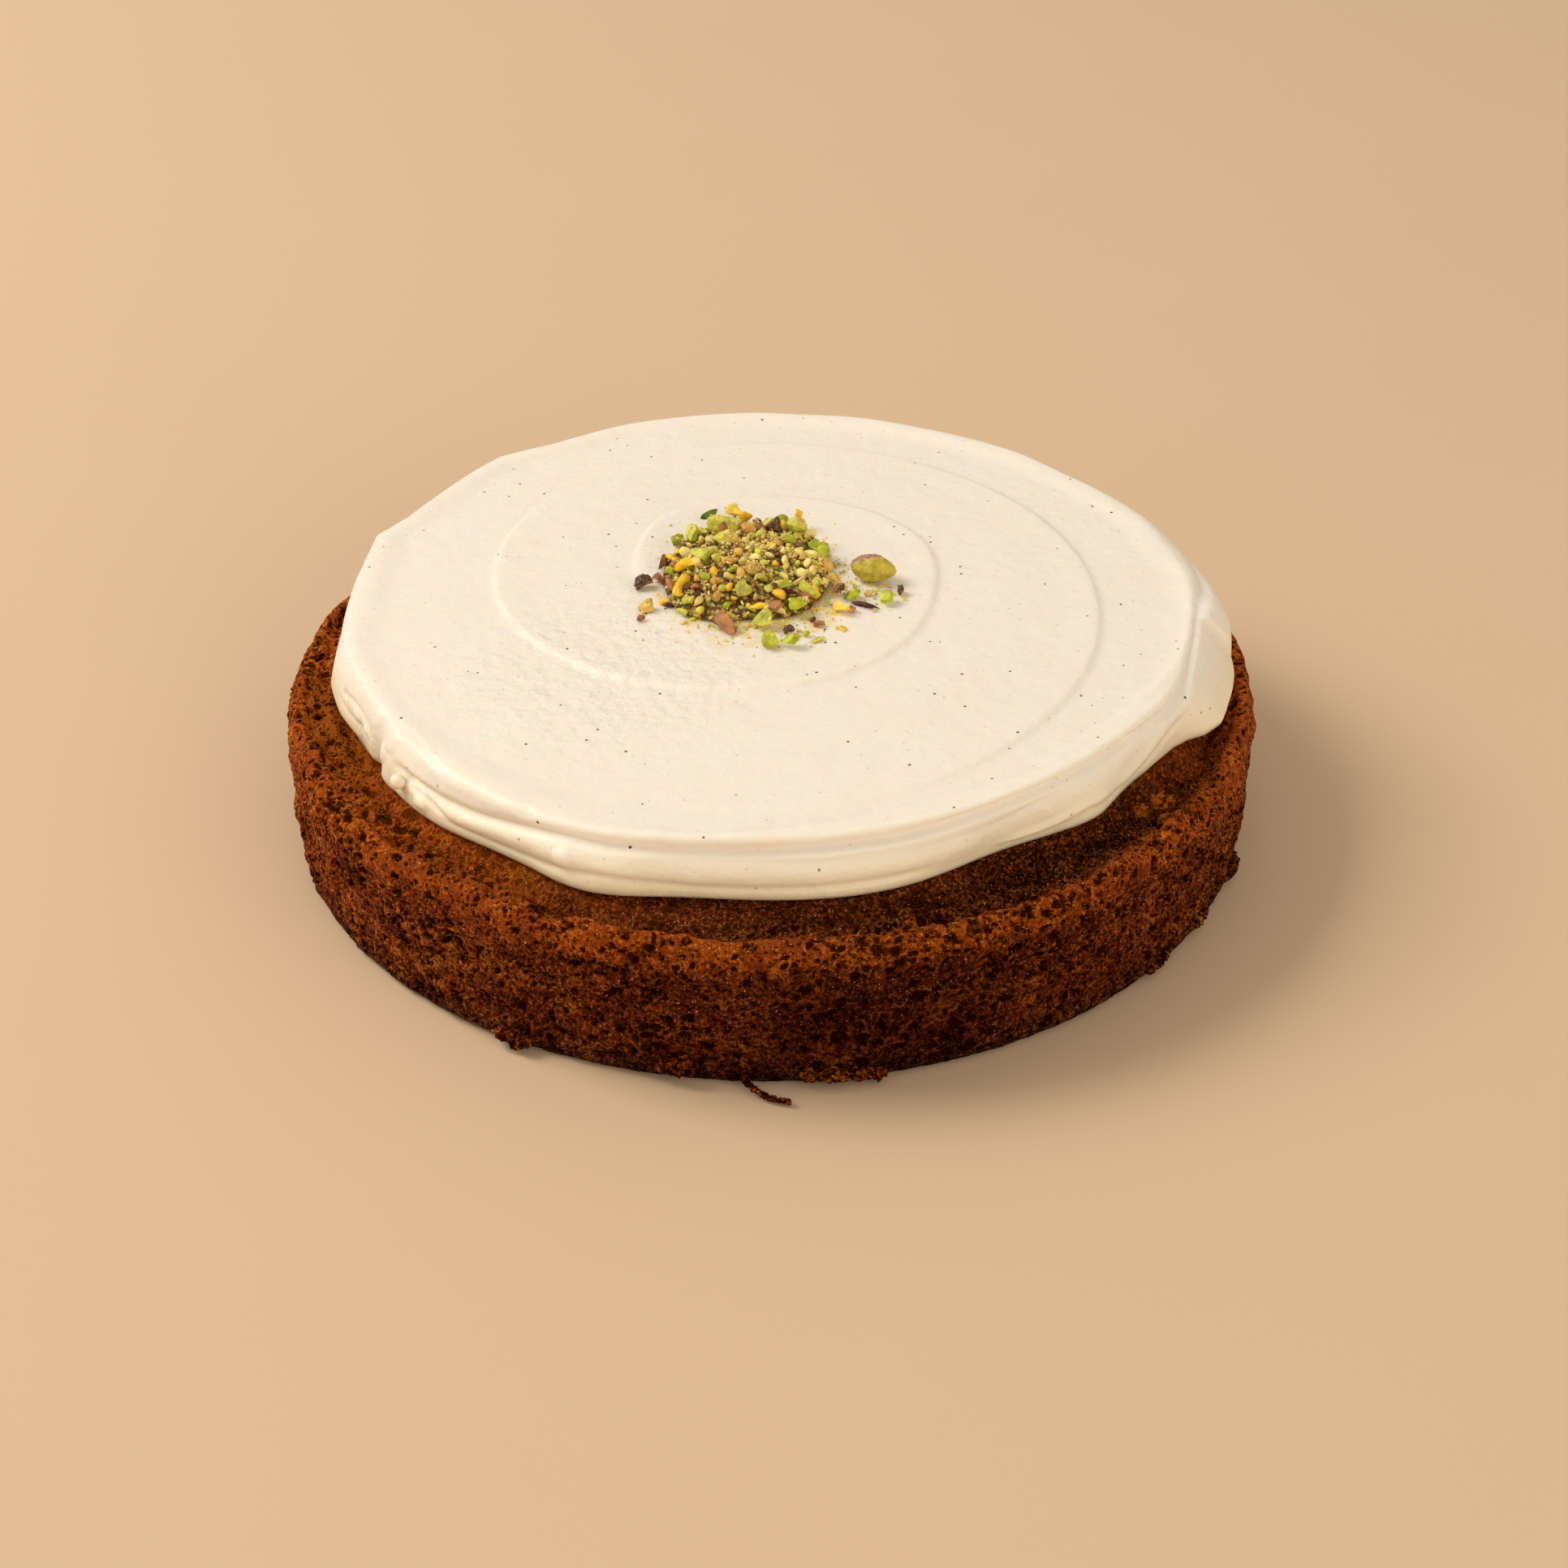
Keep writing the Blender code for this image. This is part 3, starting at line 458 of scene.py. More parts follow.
def cake_rows(angle):
    """Rows of (radius, height, share of open crumb) for every angle at once."""
    gutter = GUTTER_RADIUS + lobes(angle, GUTTER_SHIFTS)
    depth = np.maximum(GUTTER_DEPTH + lobes(angle, GUTTER_DEPTHS), 0.4)
    floor = np.minimum(dome(gutter), RIM_HEIGHT) - depth
    wide = SIDE_RADIUS + lobes(angle, SIDE_SHIFTS)
    rim_radius = RIM_RADIUS + lobes(angle, RIM_SHIFTS)
    rim_height = RIM_HEIGHT + lobes(angle, RIM_RISES)
    plain = np.zeros_like(angle)
    rows = [(plain + radius, plain, 0.0) for radius in BASE_ROWS]
    for share in np.linspace(0.0, 1.0, FOOT_ROWS):
        turn = share * math.pi / 2
        radius = BASE_RADIUS + (FOOT_RADIUS - BASE_RADIUS) * math.sin(turn)
        rows.append((plain + radius, plain + FOOT_HEIGHT * (1 - math.cos(turn)), share))
    for share in np.linspace(0.0, 1.0, WALL_ROWS + 1)[1:]:
        radius = FOOT_RADIUS + (wide - FOOT_RADIUS) * math.sin(share * math.pi / 2)
        rows.append((radius, plain + FOOT_HEIGHT + (SHOULDER_HEIGHT - FOOT_HEIGHT) * share, 1.0))
    for share in np.linspace(0.0, 1.0, SHOULDER_ROWS + 1)[1:]:
        turn = share * math.pi / 2
        radius = rim_radius + (wide - rim_radius) * math.cos(turn)
        height = SHOULDER_HEIGHT + (rim_height - SHOULDER_HEIGHT) * math.sin(turn)
        rows.append((radius, height, 1.0 - 0.4 * share))
    for share in np.linspace(0.0, 1.0, RIM_ROWS + 1)[1:]:
        radius = rim_radius - (rim_radius - gutter) * share
        rows.append((radius, rim_height - (rim_height - floor) * share * share, 0.6 - 0.2 * share))
    for share in np.linspace(0.0, 1.0, GUTTER_ROWS + 1)[1:]:
        radius = gutter - 2.5 * GUTTER_WIDTH * share
        height = floor + (dome(radius) - floor) * smooth_step(0.0, 1.0, share)
        rows.append((radius, height, 0.4 - 0.2 * share))
    for radius in COVERED_ROWS:
        rows.append((plain + radius, plain + dome(radius), 0.0))
    return rows


def away_from(points, path):
    """Distance in plan from each point to a path of (angle, radius)."""
    corners = np.array([(r * math.cos(math.radians(a)), r * math.sin(math.radians(a))) for a, r in path])
    nearest = np.full(len(points), 1e9)
    for start, end in zip(corners[:-1], corners[1:]):
        along = end - start
        share = np.clip(((points[:, :2] - start) @ along) / (along @ along), 0.0, 1.0)
        gap = np.hypot(*(points[:, :2] - start - share[:, None] * along).T)
        nearest = np.minimum(nearest, gap)
    return nearest


# %% The body before its holes
def cake_surface():
    """Points of the body, and for each its shares of open crust, golden crust, painted shade (partly a darker
    bake), painted cream shadow on the front strip and craggy crust.
    """
    angle = np.arange(CAKE_COLUMNS) * 360.0 / CAKE_COLUMNS
    turn = np.radians(angle)
    rows = cake_rows(angle)
    points, bare, golden, bake_and_shade, burnt_and_shadow, craggy = [], [], [], [], [], []
    for radius, height, share in rows:
        flat = np.stack([radius * np.cos(turn), radius * np.sin(turn), height], 1)
        crag = CRAG_HEIGHT * (ripple(flat, CRAG_SIZE) + 0.5 * ripple(flat, CRAG_SIZE / 2.7))
        on_top = (height > RIM_HEIGHT * 0.9) & (radius < SIDE_RADIUS - 0.5)
        lump = np.zeros(len(angle))
        for middle, reach, width, rise in CRUST_LUMPS:
            far = np.hypot(flat[:, 0] - reach * math.cos(math.radians(middle)),
                           flat[:, 1] - reach * math.sin(math.radians(middle))) / width
            lump += rise * np.exp(-far * far)
        edge = cream_edge(angle)
        clear = smooth_step(edge + 2.0, edge + 5.0, radius)
        flat[:, 2] += np.where(on_top, clear * (crag + lump), 0.0)
        side = smooth_step(0.0, FOOT_HEIGHT, height) * np.where(on_top | (radius < 119), 0.0, 0.8 * crag)
        flat[:, 0] += side * np.cos(turn)
        flat[:, 1] += side * np.sin(turn)
        points.append(flat)
        bare.append(np.full(len(angle), share))
        hollow = smooth_step(121.5, 118.0, radius) * smooth_step(34.0, 37.0, height)
        # The strip between rim and cream at the front gets a painted shadow of the cream.
        strip = 0.85 * hollow * smooth_step(120.5, 116.5, radius)
        # Painted shade on the sides turned from the light, partly a darker bake, is weaker on the shoulder,
        # which faces up.
        below_rim = 1.0 - 0.55 * smooth_step(29.0, 37.0, height)
        golden.append(hollow * np.clip(lobes(angle, GOLDEN_SIDES), 0.0, 1.0))
        bake_and_shade.append(np.clip(lobes(angle, DARKER_SIDES), 0.0, 1.0) * below_rim)
        burnt_and_shadow.append(strip * np.clip(lobes(angle, CREAM_SHADOW_SIDES), 0.0, 1.0))
        craggy.append(np.maximum(share, 2.6 * hollow * smooth_step(edge + 0.3, edge + 2.5, radius)))
    points, bare, golden, bake_and_shade, burnt_and_shadow, craggy = (
        np.concatenate(values) for values in (points, bare, golden, bake_and_shade, burnt_and_shadow, craggy))
    for depth, width, path in CRACKS:
        wander = 0.5 * ripple(points * (1, 1, 0), 1.7, 3.0)
        gap = away_from(points, path) + wander
        points[:, 2] -= np.where(points[:, 2] > 33.0, depth * np.exp(-((gap / width) ** 2)), 0.0)
    return points, bare, golden, bake_and_shade, burnt_and_shadow, craggy, len(rows)


def ring_faces(columns, rows, bottom, top):
    """Faces between rows of a closed turned shape, with its two middle points."""
    faces = []
    for row in range(rows - 1):
        for column in range(columns):
            here, beside = row * columns + column, row * columns + (column + 1) % columns
            faces.append((here, beside, beside + columns, here + columns))
    last = (rows - 1) * columns
    for column in range(columns):
        beside = (column + 1) % columns
        faces.append((beside, column, bottom))
        faces.append((last + column, last + beside, top))
    return faces


body, bare, golden, bake_and_shade, burnt_and_shadow, craggy, rows = cake_surface()
count = len(body)
body = np.concatenate([body, [(0, 0, 0), (0, 0, DOME_HEIGHT)]])
bare, golden, bake_and_shade, burnt_and_shadow, craggy = (
    np.append(values, (0, 0)) for values in (bare, golden, bake_and_shade, burnt_and_shadow, craggy))
cake_mesh = new_mesh("cake_body", body, ring_faces(CAKE_COLUMNS, rows, count, count + 1),
                     {"bare": bare, "golden": golden, "burnt_and_shadow": burnt_and_shadow, "bake_and_shade": bake_and_shade})
normals = np.array([vertex.normal for vertex in cake_mesh.vertices])
rough = 0.6 * ripple(body, 3.4, 7.0) + 0.45 * ripple(body, 1.6, 9.0) - 0.55
body = body + normals * (rough * craggy)[:, None]
cake_mesh.vertices.foreach_set("co", (body * MM).astype(np.float32).ravel())
cake_mesh.update()
print("cake body:", rows, "rows of", CAKE_COLUMNS)


# %% [markdown]
# ### Holes in the crumb
# The holes repeat over a surface, so Geometry Nodes push them in. The tree keeps each point's old place in
# the attribute rest, reads the hole pattern there, and moves the point in along its normal.

# %% A tree that pushes the holes in
def interface(tree, *sockets):
    """Give a tree its inputs and its one output, and return the input sockets' identifiers by name."""
    found = {}
    for name, kind, value in sockets:
        socket = tree.interface.new_socket(name, in_out="INPUT", socket_type=kind)
        if value is not None:
            socket.default_value = value
        found[name] = socket.identifier
    tree.interface.new_socket("Geometry", in_out="OUTPUT", socket_type="NodeSocketGeometry")
    return found


def hole_tree():
    tree = bpy.data.node_groups.new("Holes in the crumb", "GeometryNodeTree")
    names = interface(tree, ("Geometry", "NodeSocketGeometry", None),
                      ("Coarse depth", "NodeSocketFloat", 1.5 * MM),
                      ("Fine depth", "NodeSocketFloat", 0.7 * MM), ("Crust", "NodeSocketMaterial", None))
    given = add(tree, "NodeGroupInput")
    place = add(tree, "GeometryNodeInputPosition")
    kept_place = add(tree, "GeometryNodeStoreNamedAttribute", {
        "Geometry": given.outputs["Geometry"], "Name": "rest", "Value": place},
        data_type="FLOAT_VECTOR", domain="POINT")
    coarse, fine = crumb_holes(tree, place, HOLE_SIZES[:2])
    bare = add(tree, "GeometryNodeInputNamedAttribute", {"Name": "bare"}, data_type="FLOAT")
    deep = add(tree, "ShaderNodeMath", {0: coarse, 1: given.outputs["Coarse depth"]}, operation="MULTIPLY")
    both = add(tree, "ShaderNodeMath", {0: fine, 1: given.outputs["Fine depth"], 2: deep},
               operation="MULTIPLY_ADD")
    inward = add(tree, "ShaderNodeMath", {0: both, 1: bare.outputs["Attribute"]}, operation="MULTIPLY")
    inward = add(tree, "ShaderNodeMath", {0: inward, 1: -1.0}, operation="MULTIPLY")
    normal = add(tree, "GeometryNodeInputNormal")
    offset = add(tree, "ShaderNodeVectorMath", {0: normal, 3: inward}, operation="SCALE")
    moved = add(tree, "GeometryNodeSetPosition", {
        "Geometry": kept_place, "Offset": offset})
    real = add(tree, "GeometryNodeRealizeInstances", {0: moved})
    dressed = add(tree, "GeometryNodeSetMaterial", {0: real, "Material": given.outputs["Crust"]})
    add(tree, "NodeGroupOutput", {0: dressed})
    return tree, names


def run_tree(mesh, tree, names, **values):
    """Run a tree on a mesh and return the plain mesh that it makes."""
    holder = new_object("holder", mesh)
    modifier = holder.modifiers.new("tree", "NODES")
    modifier.node_group = tree
    for name, value in values.items():
        modifier[names[name.replace("_", " ")]] = value
    graph = bpy.context.evaluated_depsgraph_get()
    made = bpy.data.meshes.new_from_object(holder.evaluated_get(graph))
    bpy.data.objects.remove(holder, do_unlink=True)
    return made


holes, hole_inputs = hole_tree()
porous = run_tree(cake_mesh, holes, hole_inputs, Coarse_depth=1.7 * MM, Fine_depth=0.8 * MM,
                  Crust=crust_finish)
porous.name = "cake_body"
porous.shade_smooth()
new_piece("cake_body", porous, crust_finish, "cake")

# %% [markdown]
# ## Lumps: nuts and crumbs from one rule
# A chopped kernel is a rounded block with a few flat cuts, and so is a burnt crumb, only rougher. The rule
# starts from a ball, cuts flats across it, roughens it and stretches it to its measured size. Where a flat
# was cut, the attribute cut is 1, so that the finish can show the fresh inside of the nut there.

# %% A lump with cut faces
BALLS = {}


def ball(level):
    """Points and faces of a unit ball, made once for each level."""
    if level not in BALLS:
        shape = bmesh.new()
        bmesh.ops.create_icosphere(shape, subdivisions=level, radius=1.0)
        points = np.array([vertex.co for vertex in shape.verts])
        faces = [tuple(vertex.index for vertex in face.verts) for face in shape.faces]
        shape.free()
        BALLS[level] = (points, faces)
    return BALLS[level]


def lump(size, place, turn, draw, cuts, rough, level=4, bend=0.0, tilt=0.3):
    """Points, faces and cut share of one lump of that size in millimetres."""
    points, faces = ball(level)
    points = points.copy()
    seed = draw.uniform(0.0, 60.0)
    points *= (1.0 + 0.11 * ripple(points, 0.9, seed))[:, None]
    cut = np.zeros(len(points))
    for _ in range(cuts):
        normal = Vector([draw.gauss(0, 1) for _ in range(3)]).normalized()
        over = points @ np.array(normal) - draw.uniform(0.3, 0.62)
        points -= np.maximum(over, 0.0)[:, None] * np.array(normal) * 0.94
        cut = np.maximum(cut, smooth_step(0.0, 0.06, over))
    points /= np.abs(points).max(0)
    uneven = rough * (1.0 - 0.75 * cut)
    points *= (1.0 + uneven * (ripple(points, 0.34, seed) + 0.6 * ripple(points, 0.15, seed)))[:, None]
    points[:, 2] += bend * (1.0 - 2.0 * points[:, 0] ** 2)
    points *= np.array(size) / 2.0
    spin = Matrix.Rotation(math.radians(turn), 3, "Z") @ Matrix.Rotation(draw.uniform(-tilt, tilt), 3, "X")
    spin = spin @ Matrix.Rotation(draw.uniform(-tilt, tilt), 3, "Y")
    points = points @ np.array(spin).T + np.array(place)
    return points, faces, cut


def join(lumps, draw):
    """One set of points, faces and attributes from many lumps, each with a tone of its own."""
    points, faces, cuts, tones, start = [], [], [], [], 0
    for some_points, some_faces, cut in lumps:
        points.append(some_points)
        faces.extend(tuple(index + start for index in face) for face in some_faces)
        cuts.append(cut)
        tones.append(np.full(len(cut), draw.random()))
        start += len(some_points)
    return np.concatenate(points), faces, np.concatenate(cuts), np.concatenate(tones)


# %% [markdown]
# ### Scraps round the foot
# When a cake leaves its tin, crumbs stay at the foot: some burnt almost black, and one strand was pulled out
# and lies in front. Two golden crumbs sit on the rim. They lie where the solid has them, only rougher. Each
# row is an angle, a radius, a height, a length, a width and a thickness.

# %% Scraps, rim crumbs and the strand
FOOT_SCRAPS = [
    (342, 124.6, 4.4, 11.0, 6.0, 6.4), (330, 124.0, 3.9, 14.0, 6.0, 5.6), (320, 123.8, 3.4, 10.0, 5.6, 4.8),
    (276, 125.4, 3.6, 12.0, 6.0, 5.0), (281, 125.4, 3.2, 9.0, 5.6, 4.4), (241, 125.6, 3.3, 11.0, 5.6, 4.4),
    (260, 125.4, 5.4, 9.0, 5.0, 5.4),
]
RIM_CRUMBS = [(325, 117.4, 42.9, 6.6, 5.4, 5.0), (322, 114.6, 41.6, 4.4, 4.0, 3.8)]
BURNT = (1.0, 1.0, 1.0, 0.55, 0.5, 0.3, 0.1, 0.0, 0.0)
STRAND_STEPS = 15
STRAND_BURNT = 0.45
STRAND = [(267.0, 122.0, 3.6), (268.2, 126.2, 2.2), (270.0, 129.0, 1.4), (272.2, 130.8, 1.25)]


def around(angle, radius):
    """The point at an angle in degrees and a radius."""
    return radius * math.cos(math.radians(angle)), radius * math.sin(math.radians(angle))


draw = random.Random(4)
scraps, burns = [], []
for (angle, radius, height, length, width, thickness), burn in zip(FOOT_SCRAPS + RIM_CRUMBS, BURNT):
    x, y = around(angle, radius - 1.2)
    parts = 7 if burn > 0.4 else 5
    for part in range(parts):
        slide = (part / (parts - 1) - 0.5) * 0.62 * length
        here = (x - slide * math.sin(math.radians(angle)), y + slide * math.cos(math.radians(angle)))
        size = [width * draw.uniform(0.6, 0.92), length * draw.uniform(0.3, 0.45),
                thickness * draw.uniform(0.6, 0.9)]
        lift = height + draw.uniform(-0.5, 0.3) + max(size[2] / 2 + 0.4 - height, 0.0)
        scraps.append(lump(size, (*here, lift), angle, draw, cuts=2, rough=0.3))
        burns.append(burn)
for step in range(STRAND_STEPS):
    share = step / (STRAND_STEPS - 1)
    angle, radius, height = (
        curve_through([(i / 3, point[part]) for i, point in enumerate(STRAND)], share) for part in range(3))
    size = 2.1 - 0.7 * share
    scraps.append(lump((1.8, size, size), (*around(angle, radius), height), angle, draw,
                       cuts=1, rough=0.3, level=3))
    burns.append(STRAND_BURNT)
points, faces, cuts, _ = join(scraps, draw)
burnt_and_shadow = np.concatenate([np.full(len(part[2]), burn) for part, burn in zip(scraps, burns)])
scrap_mesh = new_mesh("cake_scraps", points, faces, {
    "rest": points * MM, "bare": np.full(len(points), 0.8), "golden": 1.0 * (burnt_and_shadow == 0.0), "burnt_and_shadow": burnt_and_shadow,
    "bake_and_shade": np.zeros(len(points))})
new_piece("cake_scraps", scrap_mesh, crust_finish)

# %% [markdown]
# ## The cream
# Cream cheese frosting is thick and satin, with vanilla seeds in it. A spatula went round it in a widening
# spiral and left a soft ridge along its edge: steep on the side of the middle, gentle on the other. The flat
# top is a mesh of triangles that lie closer together along that ridge. The rim is a turned shape whose folds
# and creases follow lines that were measured on the real cake, as (angle, millimetres outside the crest).
# The spatula's line itself is (turns from its start, radius).

# %% The spatula's line
LINE_CENTRE = (-2.0, 12.0)
LINE_START_ANGLE = 180.7
LINE_RADII = [
    (0.0, 31.6), (0.04, 33.7), (0.1, 39.5), (0.15, 46.2), (0.19, 49.2), (0.25, 50.7), (0.4, 50.0),
    (0.52, 44.8), (0.65, 48.5), (0.8, 55.5), (0.95, 65.5), (1.1, 76.5), (1.22, 87.0), (1.38, 85.5),
    (1.5, 86.6), (1.6, 92.5), (1.72, 103.5), (1.82, 104.5),
]
LINE_END = 1.76
LINE_LAP = 415.0
LINE_STEP = 0.46
LINE_TABLE = np.array([
    (turn, curve_through(LINE_RADII, turn)) for turn in np.linspace(0.0, LINE_RADII[-1][0], 400)])


def spatula_height(x, y):
    """Height of the spatula's steps at each point: slowly up to the line, then quickly down outside it."""
    dx, dy = x - LINE_CENTRE[0], y - LINE_CENTRE[1]
    radius = np.hypot(dx, dy)
    part = ((LINE_START_ANGLE - np.degrees(np.arctan2(dy, dx))) % 360.0) / 360.0
    height = np.zeros(np.shape(x))
    for turns in (0, 1):
        turn = part + turns
        out = radius - np.interp(turn, LINE_TABLE[:, 0], LINE_TABLE[:, 1])
        fade = smooth_step(0.0, 0.04, turn) * (1.0 - smooth_step(LINE_END - 0.1, LINE_END + 0.05, turn))
        fade = fade * (1.0 - smooth_step(1.08, 1.14, turn) * smooth_step(1.28, 1.2, turn))
        rise = (smooth_step(-11.0, -0.3, out) - 1.9 * smooth_step(-0.5, 1.5, out)
                + 0.9 * smooth_step(1.5, 24.0, out))
        height = height + (turn < LINE_END + 0.06) * LINE_STEP * fade * rise
    return height - 0.35


def cream_top(x, y):
    """Height of the cream's top at each point."""
    share = np.hypot(x, y) / DOME_RADIUS
    return CREAM_MIDDLE - CREAM_DROP * share * share + spatula_height(x, y)


print("cream's top at the middle:", round(float(cream_top(np.array(0.0), np.array(0.0))), 2), "mm")

# %% [markdown]
# ### Folds and lumps of the rim
# Each fold is its height, its width on the inner and on the outer side, and its path. Each lump is its angle,
# its distance outside the crest, its width and its height. What is negative is a crease or a dent.

# %% Folds and lumps
CREST_TRIM = [
    (0, 0.2), (11, 0.2), (20, -1.3), (28, -0.3), (34, -0.9), (39, -1.0), (44, -1.5), (49, -0.8), (53, 0.0),
    (68, 0.0), (76, 1.0), (80, 1.0), (86, 0.5), (92, 1.5), (110, 1.5), (118, 0.0), (122, -0.4), (126, 0.8),
    (130, 2.0), (135, 0.4), (140, -1.2), (145, -2.3), (151, -2.6), (154.5, -1.0), (157, 0.6), (160, -0.8),
    (165, -2.2), (172, -2.8), (180, -2.6), (185, -1.2), (189, 0.0), (360, 0.2),
]
EDGE_TRIM = [
    (0, -0.8), (8, 0.0), (18, 1.6), (30, 1.6), (44, 0.0), (160, 0.0), (172, -2.4), (180, -2.2), (187, 0.0),
    (194, -0.6), (199, -2.0), (201.6, -2.6), (204, -2.2), (205.5, -1.6), (208.2, -1.3), (209.6, 0.3),
    (211, 1.1), (214.3, 0.4), (219.5, 1.2), (225, 1.5), (232, 0.6), (240, 0.0), (318, 1.5), (330, 1.0),
    (337.5, -0.8), (340, -0.2), (342, 2.2), (345, 3.2), (349, 1.6), (354, 0.4), (360, -0.8),
]
LEFT_STEP = [
    (150, -4.0), (161.5, -5.4), (175.5, -7.0), (185, -5.4), (191, -4.2), (199, -3.2), (205, -3.8),
    (216, -4.6), (223.5, -5.2), (234.5, -7.0), (245, -7.2), (255, -8.0), (265, -8.4),
]
CREAM_FOLDS = [
    (0.45, 1.1, 2.2, [(262, -1.0), (270, -2.0), (275, -3.6), (280.5, -4.2), (286.5, -5.4), (294.5, -5.2),
                      (303.5, -4.6), (311, -3.0), (318.5, -3.0), (327, -2.6), (334, -2.4)]),
    (0.5, 1.8, 1.4, [(310, -5.6), (322, -5.2), (335.5, -4.8), (341, -3.0), (347, -1.7), (357, -1.4),
                     (363.5, -1.6), (378, -1.4)]),
    (0.35, 2.4, 1.6, [(217, -0.5), (221.5, 1.5), (227.5, 2.1), (234.5, 1.6), (244, 0.5), (257, 0.1),
                      (270, 0.4), (286, 0.0), (300, -0.4), (320, -0.4), (334, -1.0), (341, -0.4)]),
    (-0.3, 0.8, 1.6, [(207, -2.2), (211, -0.9), (216.5, -1.8), (221, 0.0), (227, 0.6)]),
    (-1.9, 1.0, 1.5, [(213, 7.6), (224, 7.4), (231, 6.6), (238, 4.6), (244, 3.1), (251.5, 3.1), (260, 3.3),
                      (270, 3.0), (283.5, 2.7), (294, 2.2), (303, 1.7), (312, 1.3), (322.5, 1.2),
                      (328, 1.3)]),
    (-1.0, 1.0, 1.5, [(322, 1.3), (327, 1.2), (332, 2.0), (336, 3.0), (339.5, 2.4), (344.5, 1.6), (350, 0.5),
                      (357, 0.1), (363, 0.4), (372, 2.5), (380, 5.0)]),
    (0.5, 1.1, 1.0, [(250, 4.6), (258, 4.3), (270, 4.2), (285, 4.0), (300, 3.4), (315, 2.8)]),
    (0.7, 2.2, 2.4, [(224, 10.4), (230, 9.6), (237, 8.6), (243, 7.8), (250, 7.6)]),
    (0.55, 2.4, 2.4, [(246, 8.4), (255, 8.6), (270, 9.2), (285, 9.2), (300, 9.4)]),
    (-0.28, 0.8, 1.2, [(256, 4.9), (261.5, 5.2), (268, 4.9), (271.5, 5.6), (276.5, 6.2), (281.5, 5.8),
                       (289, 6.4), (298.5, 6.2), (303, 5.6), (306.5, 4.6), (311, 3.8), (320, 3.4)]),
    (-0.6, 0.8, 1.1, [(224, 12.4), (234, 12.4), (238, 12.0), (243, 11.4), (250, 10.6), (256, 11.2),
                      (263, 12.0), (276, 12.2), (292, 11.8)]),
    (0.9, 1.7, 2.2, [(320, 10.6), (324.5, 10.6), (328.5, 9.4), (331.5, 7.4), (335, 6.0), (339, 5.7),
                     (341.5, 5.0), (346.5, 3.2), (352.5, 2.0), (360, 1.7), (368, 2.4)]),
    (-0.7, 0.9, 1.2, [(318, 12.6), (326.5, 12.4), (331, 11.2), (334, 9.4), (337.5, 8.0), (342, 7.4)]),
    (0.8, 1.0, 1.3, [(300, 12.2), (308.5, 11.8), (312, 10.8), (315.5, 10.0), (322, 11.0)]),
    (-0.55, 0.6, 1.0, [(193.5, 7.8), (197, 6.4), (201, 6.2), (204, 7.2), (207, 8.8)]),
    (-0.4, 0.6, 0.9, [(191.5, 9.6), (196.5, 10.8), (201, 10.2), (206, 10.2)]),
    (-0.9, 0.6, 0.8, [(216.4, 8.9), (219.5, 9.6), (222.5, 9.8), (225.5, 11.0), (228, 12.0)]),
]
CREAM_LUMPS = [
    (217.4, 8.4, 1.2, -1.3), (245.0, 8.6, 2.8, 0.9), (221.0, 11.8, 3.0, 0.9),
    (195.0, 7.4, 1.2, -0.8), (199.5, 8.3, 2.4, 0.5), (203.5, 9.0, 1.5, 0.5), (210.5, 8.0, 2.6, 0.7),
    (206.0, 3.0, 3.0, 0.4), (212.0, 3.6, 3.2, 0.5), (261.0, 9.8, 2.2, 0.25), (256.0, -0.8, 3.0, 0.3),
    (156.0, 7.0, 4.0, 0.6), (239.0, 1.2, 2.0, -0.35), (314.0, 6.2, 1.6, 0.3), (309.0, 7.6, 2.0, 0.35),
]
EDGE_TIPS = [(156, 5, 1.2), (317, 4, 0.8)]
RIM_INSIDE = 14.0
RIM_INNER_ROWS = 28
RIM_OUTER_ROWS = 38
RIM_MIDDLE_RADIUS = 112.0
FOLD_END = 5.0
CREAM_COLUMNS = 720


def rim_relief(angle, out):
    """How far folds and lumps push the rim outward at each angle and distance outside the crest."""
    total = np.zeros(np.broadcast(angle, out).shape)
    for height, inner, outer, path in CREAM_FOLDS:
        places = np.array([place for place, _ in path], float)
        gaps = np.array([gap for _, gap in path])
        for lap in (0.0, 360.0):
            here = angle + lap
            away = out - np.interp(here, places, gaps)
            ends = smooth_step(places[0], places[0] + FOLD_END, here)
            ends = ends * smooth_step(places[-1], places[-1] - FOLD_END, here)
            total = total + height * ends * np.exp(-((away / np.where(away < 0, inner, outer)) ** 2))
    for middle, gap, width, height in CREAM_LUMPS:
        across = np.radians((angle - middle + 180.0) % 360.0 - 180.0) * RIM_MIDDLE_RADIUS
        far = np.hypot(across, out - gap) / width
        total = total + height * np.sqrt(np.clip(1.0 - far * far, 0.0, 1.0)) * smooth_step(1.05, 0.75, far)
    return total


# %% [markdown]
# ### Rows of the rim
# The rim is first laid out plain, from 14 mm inside the crest down to the edge that rests on the cake, and
# smoothed so that the crest is round, most of all on the left. Then the folds push it out along its normal.

# %% The rim of the cream
def trimmed(angle, table):
    """The value at each angle between measured (angle, value) points."""
    return np.interp(angle, [place for place, _ in table], [value for _, value in table])


def soften(values, times):
    """Even out the values of neighbouring rows, in place."""
    for _ in range(times):
        values[:, 1:-1] = 0.25 * values[:, :-2] + 0.5 * values[:, 1:-1] + 0.25 * values[:, 2:]


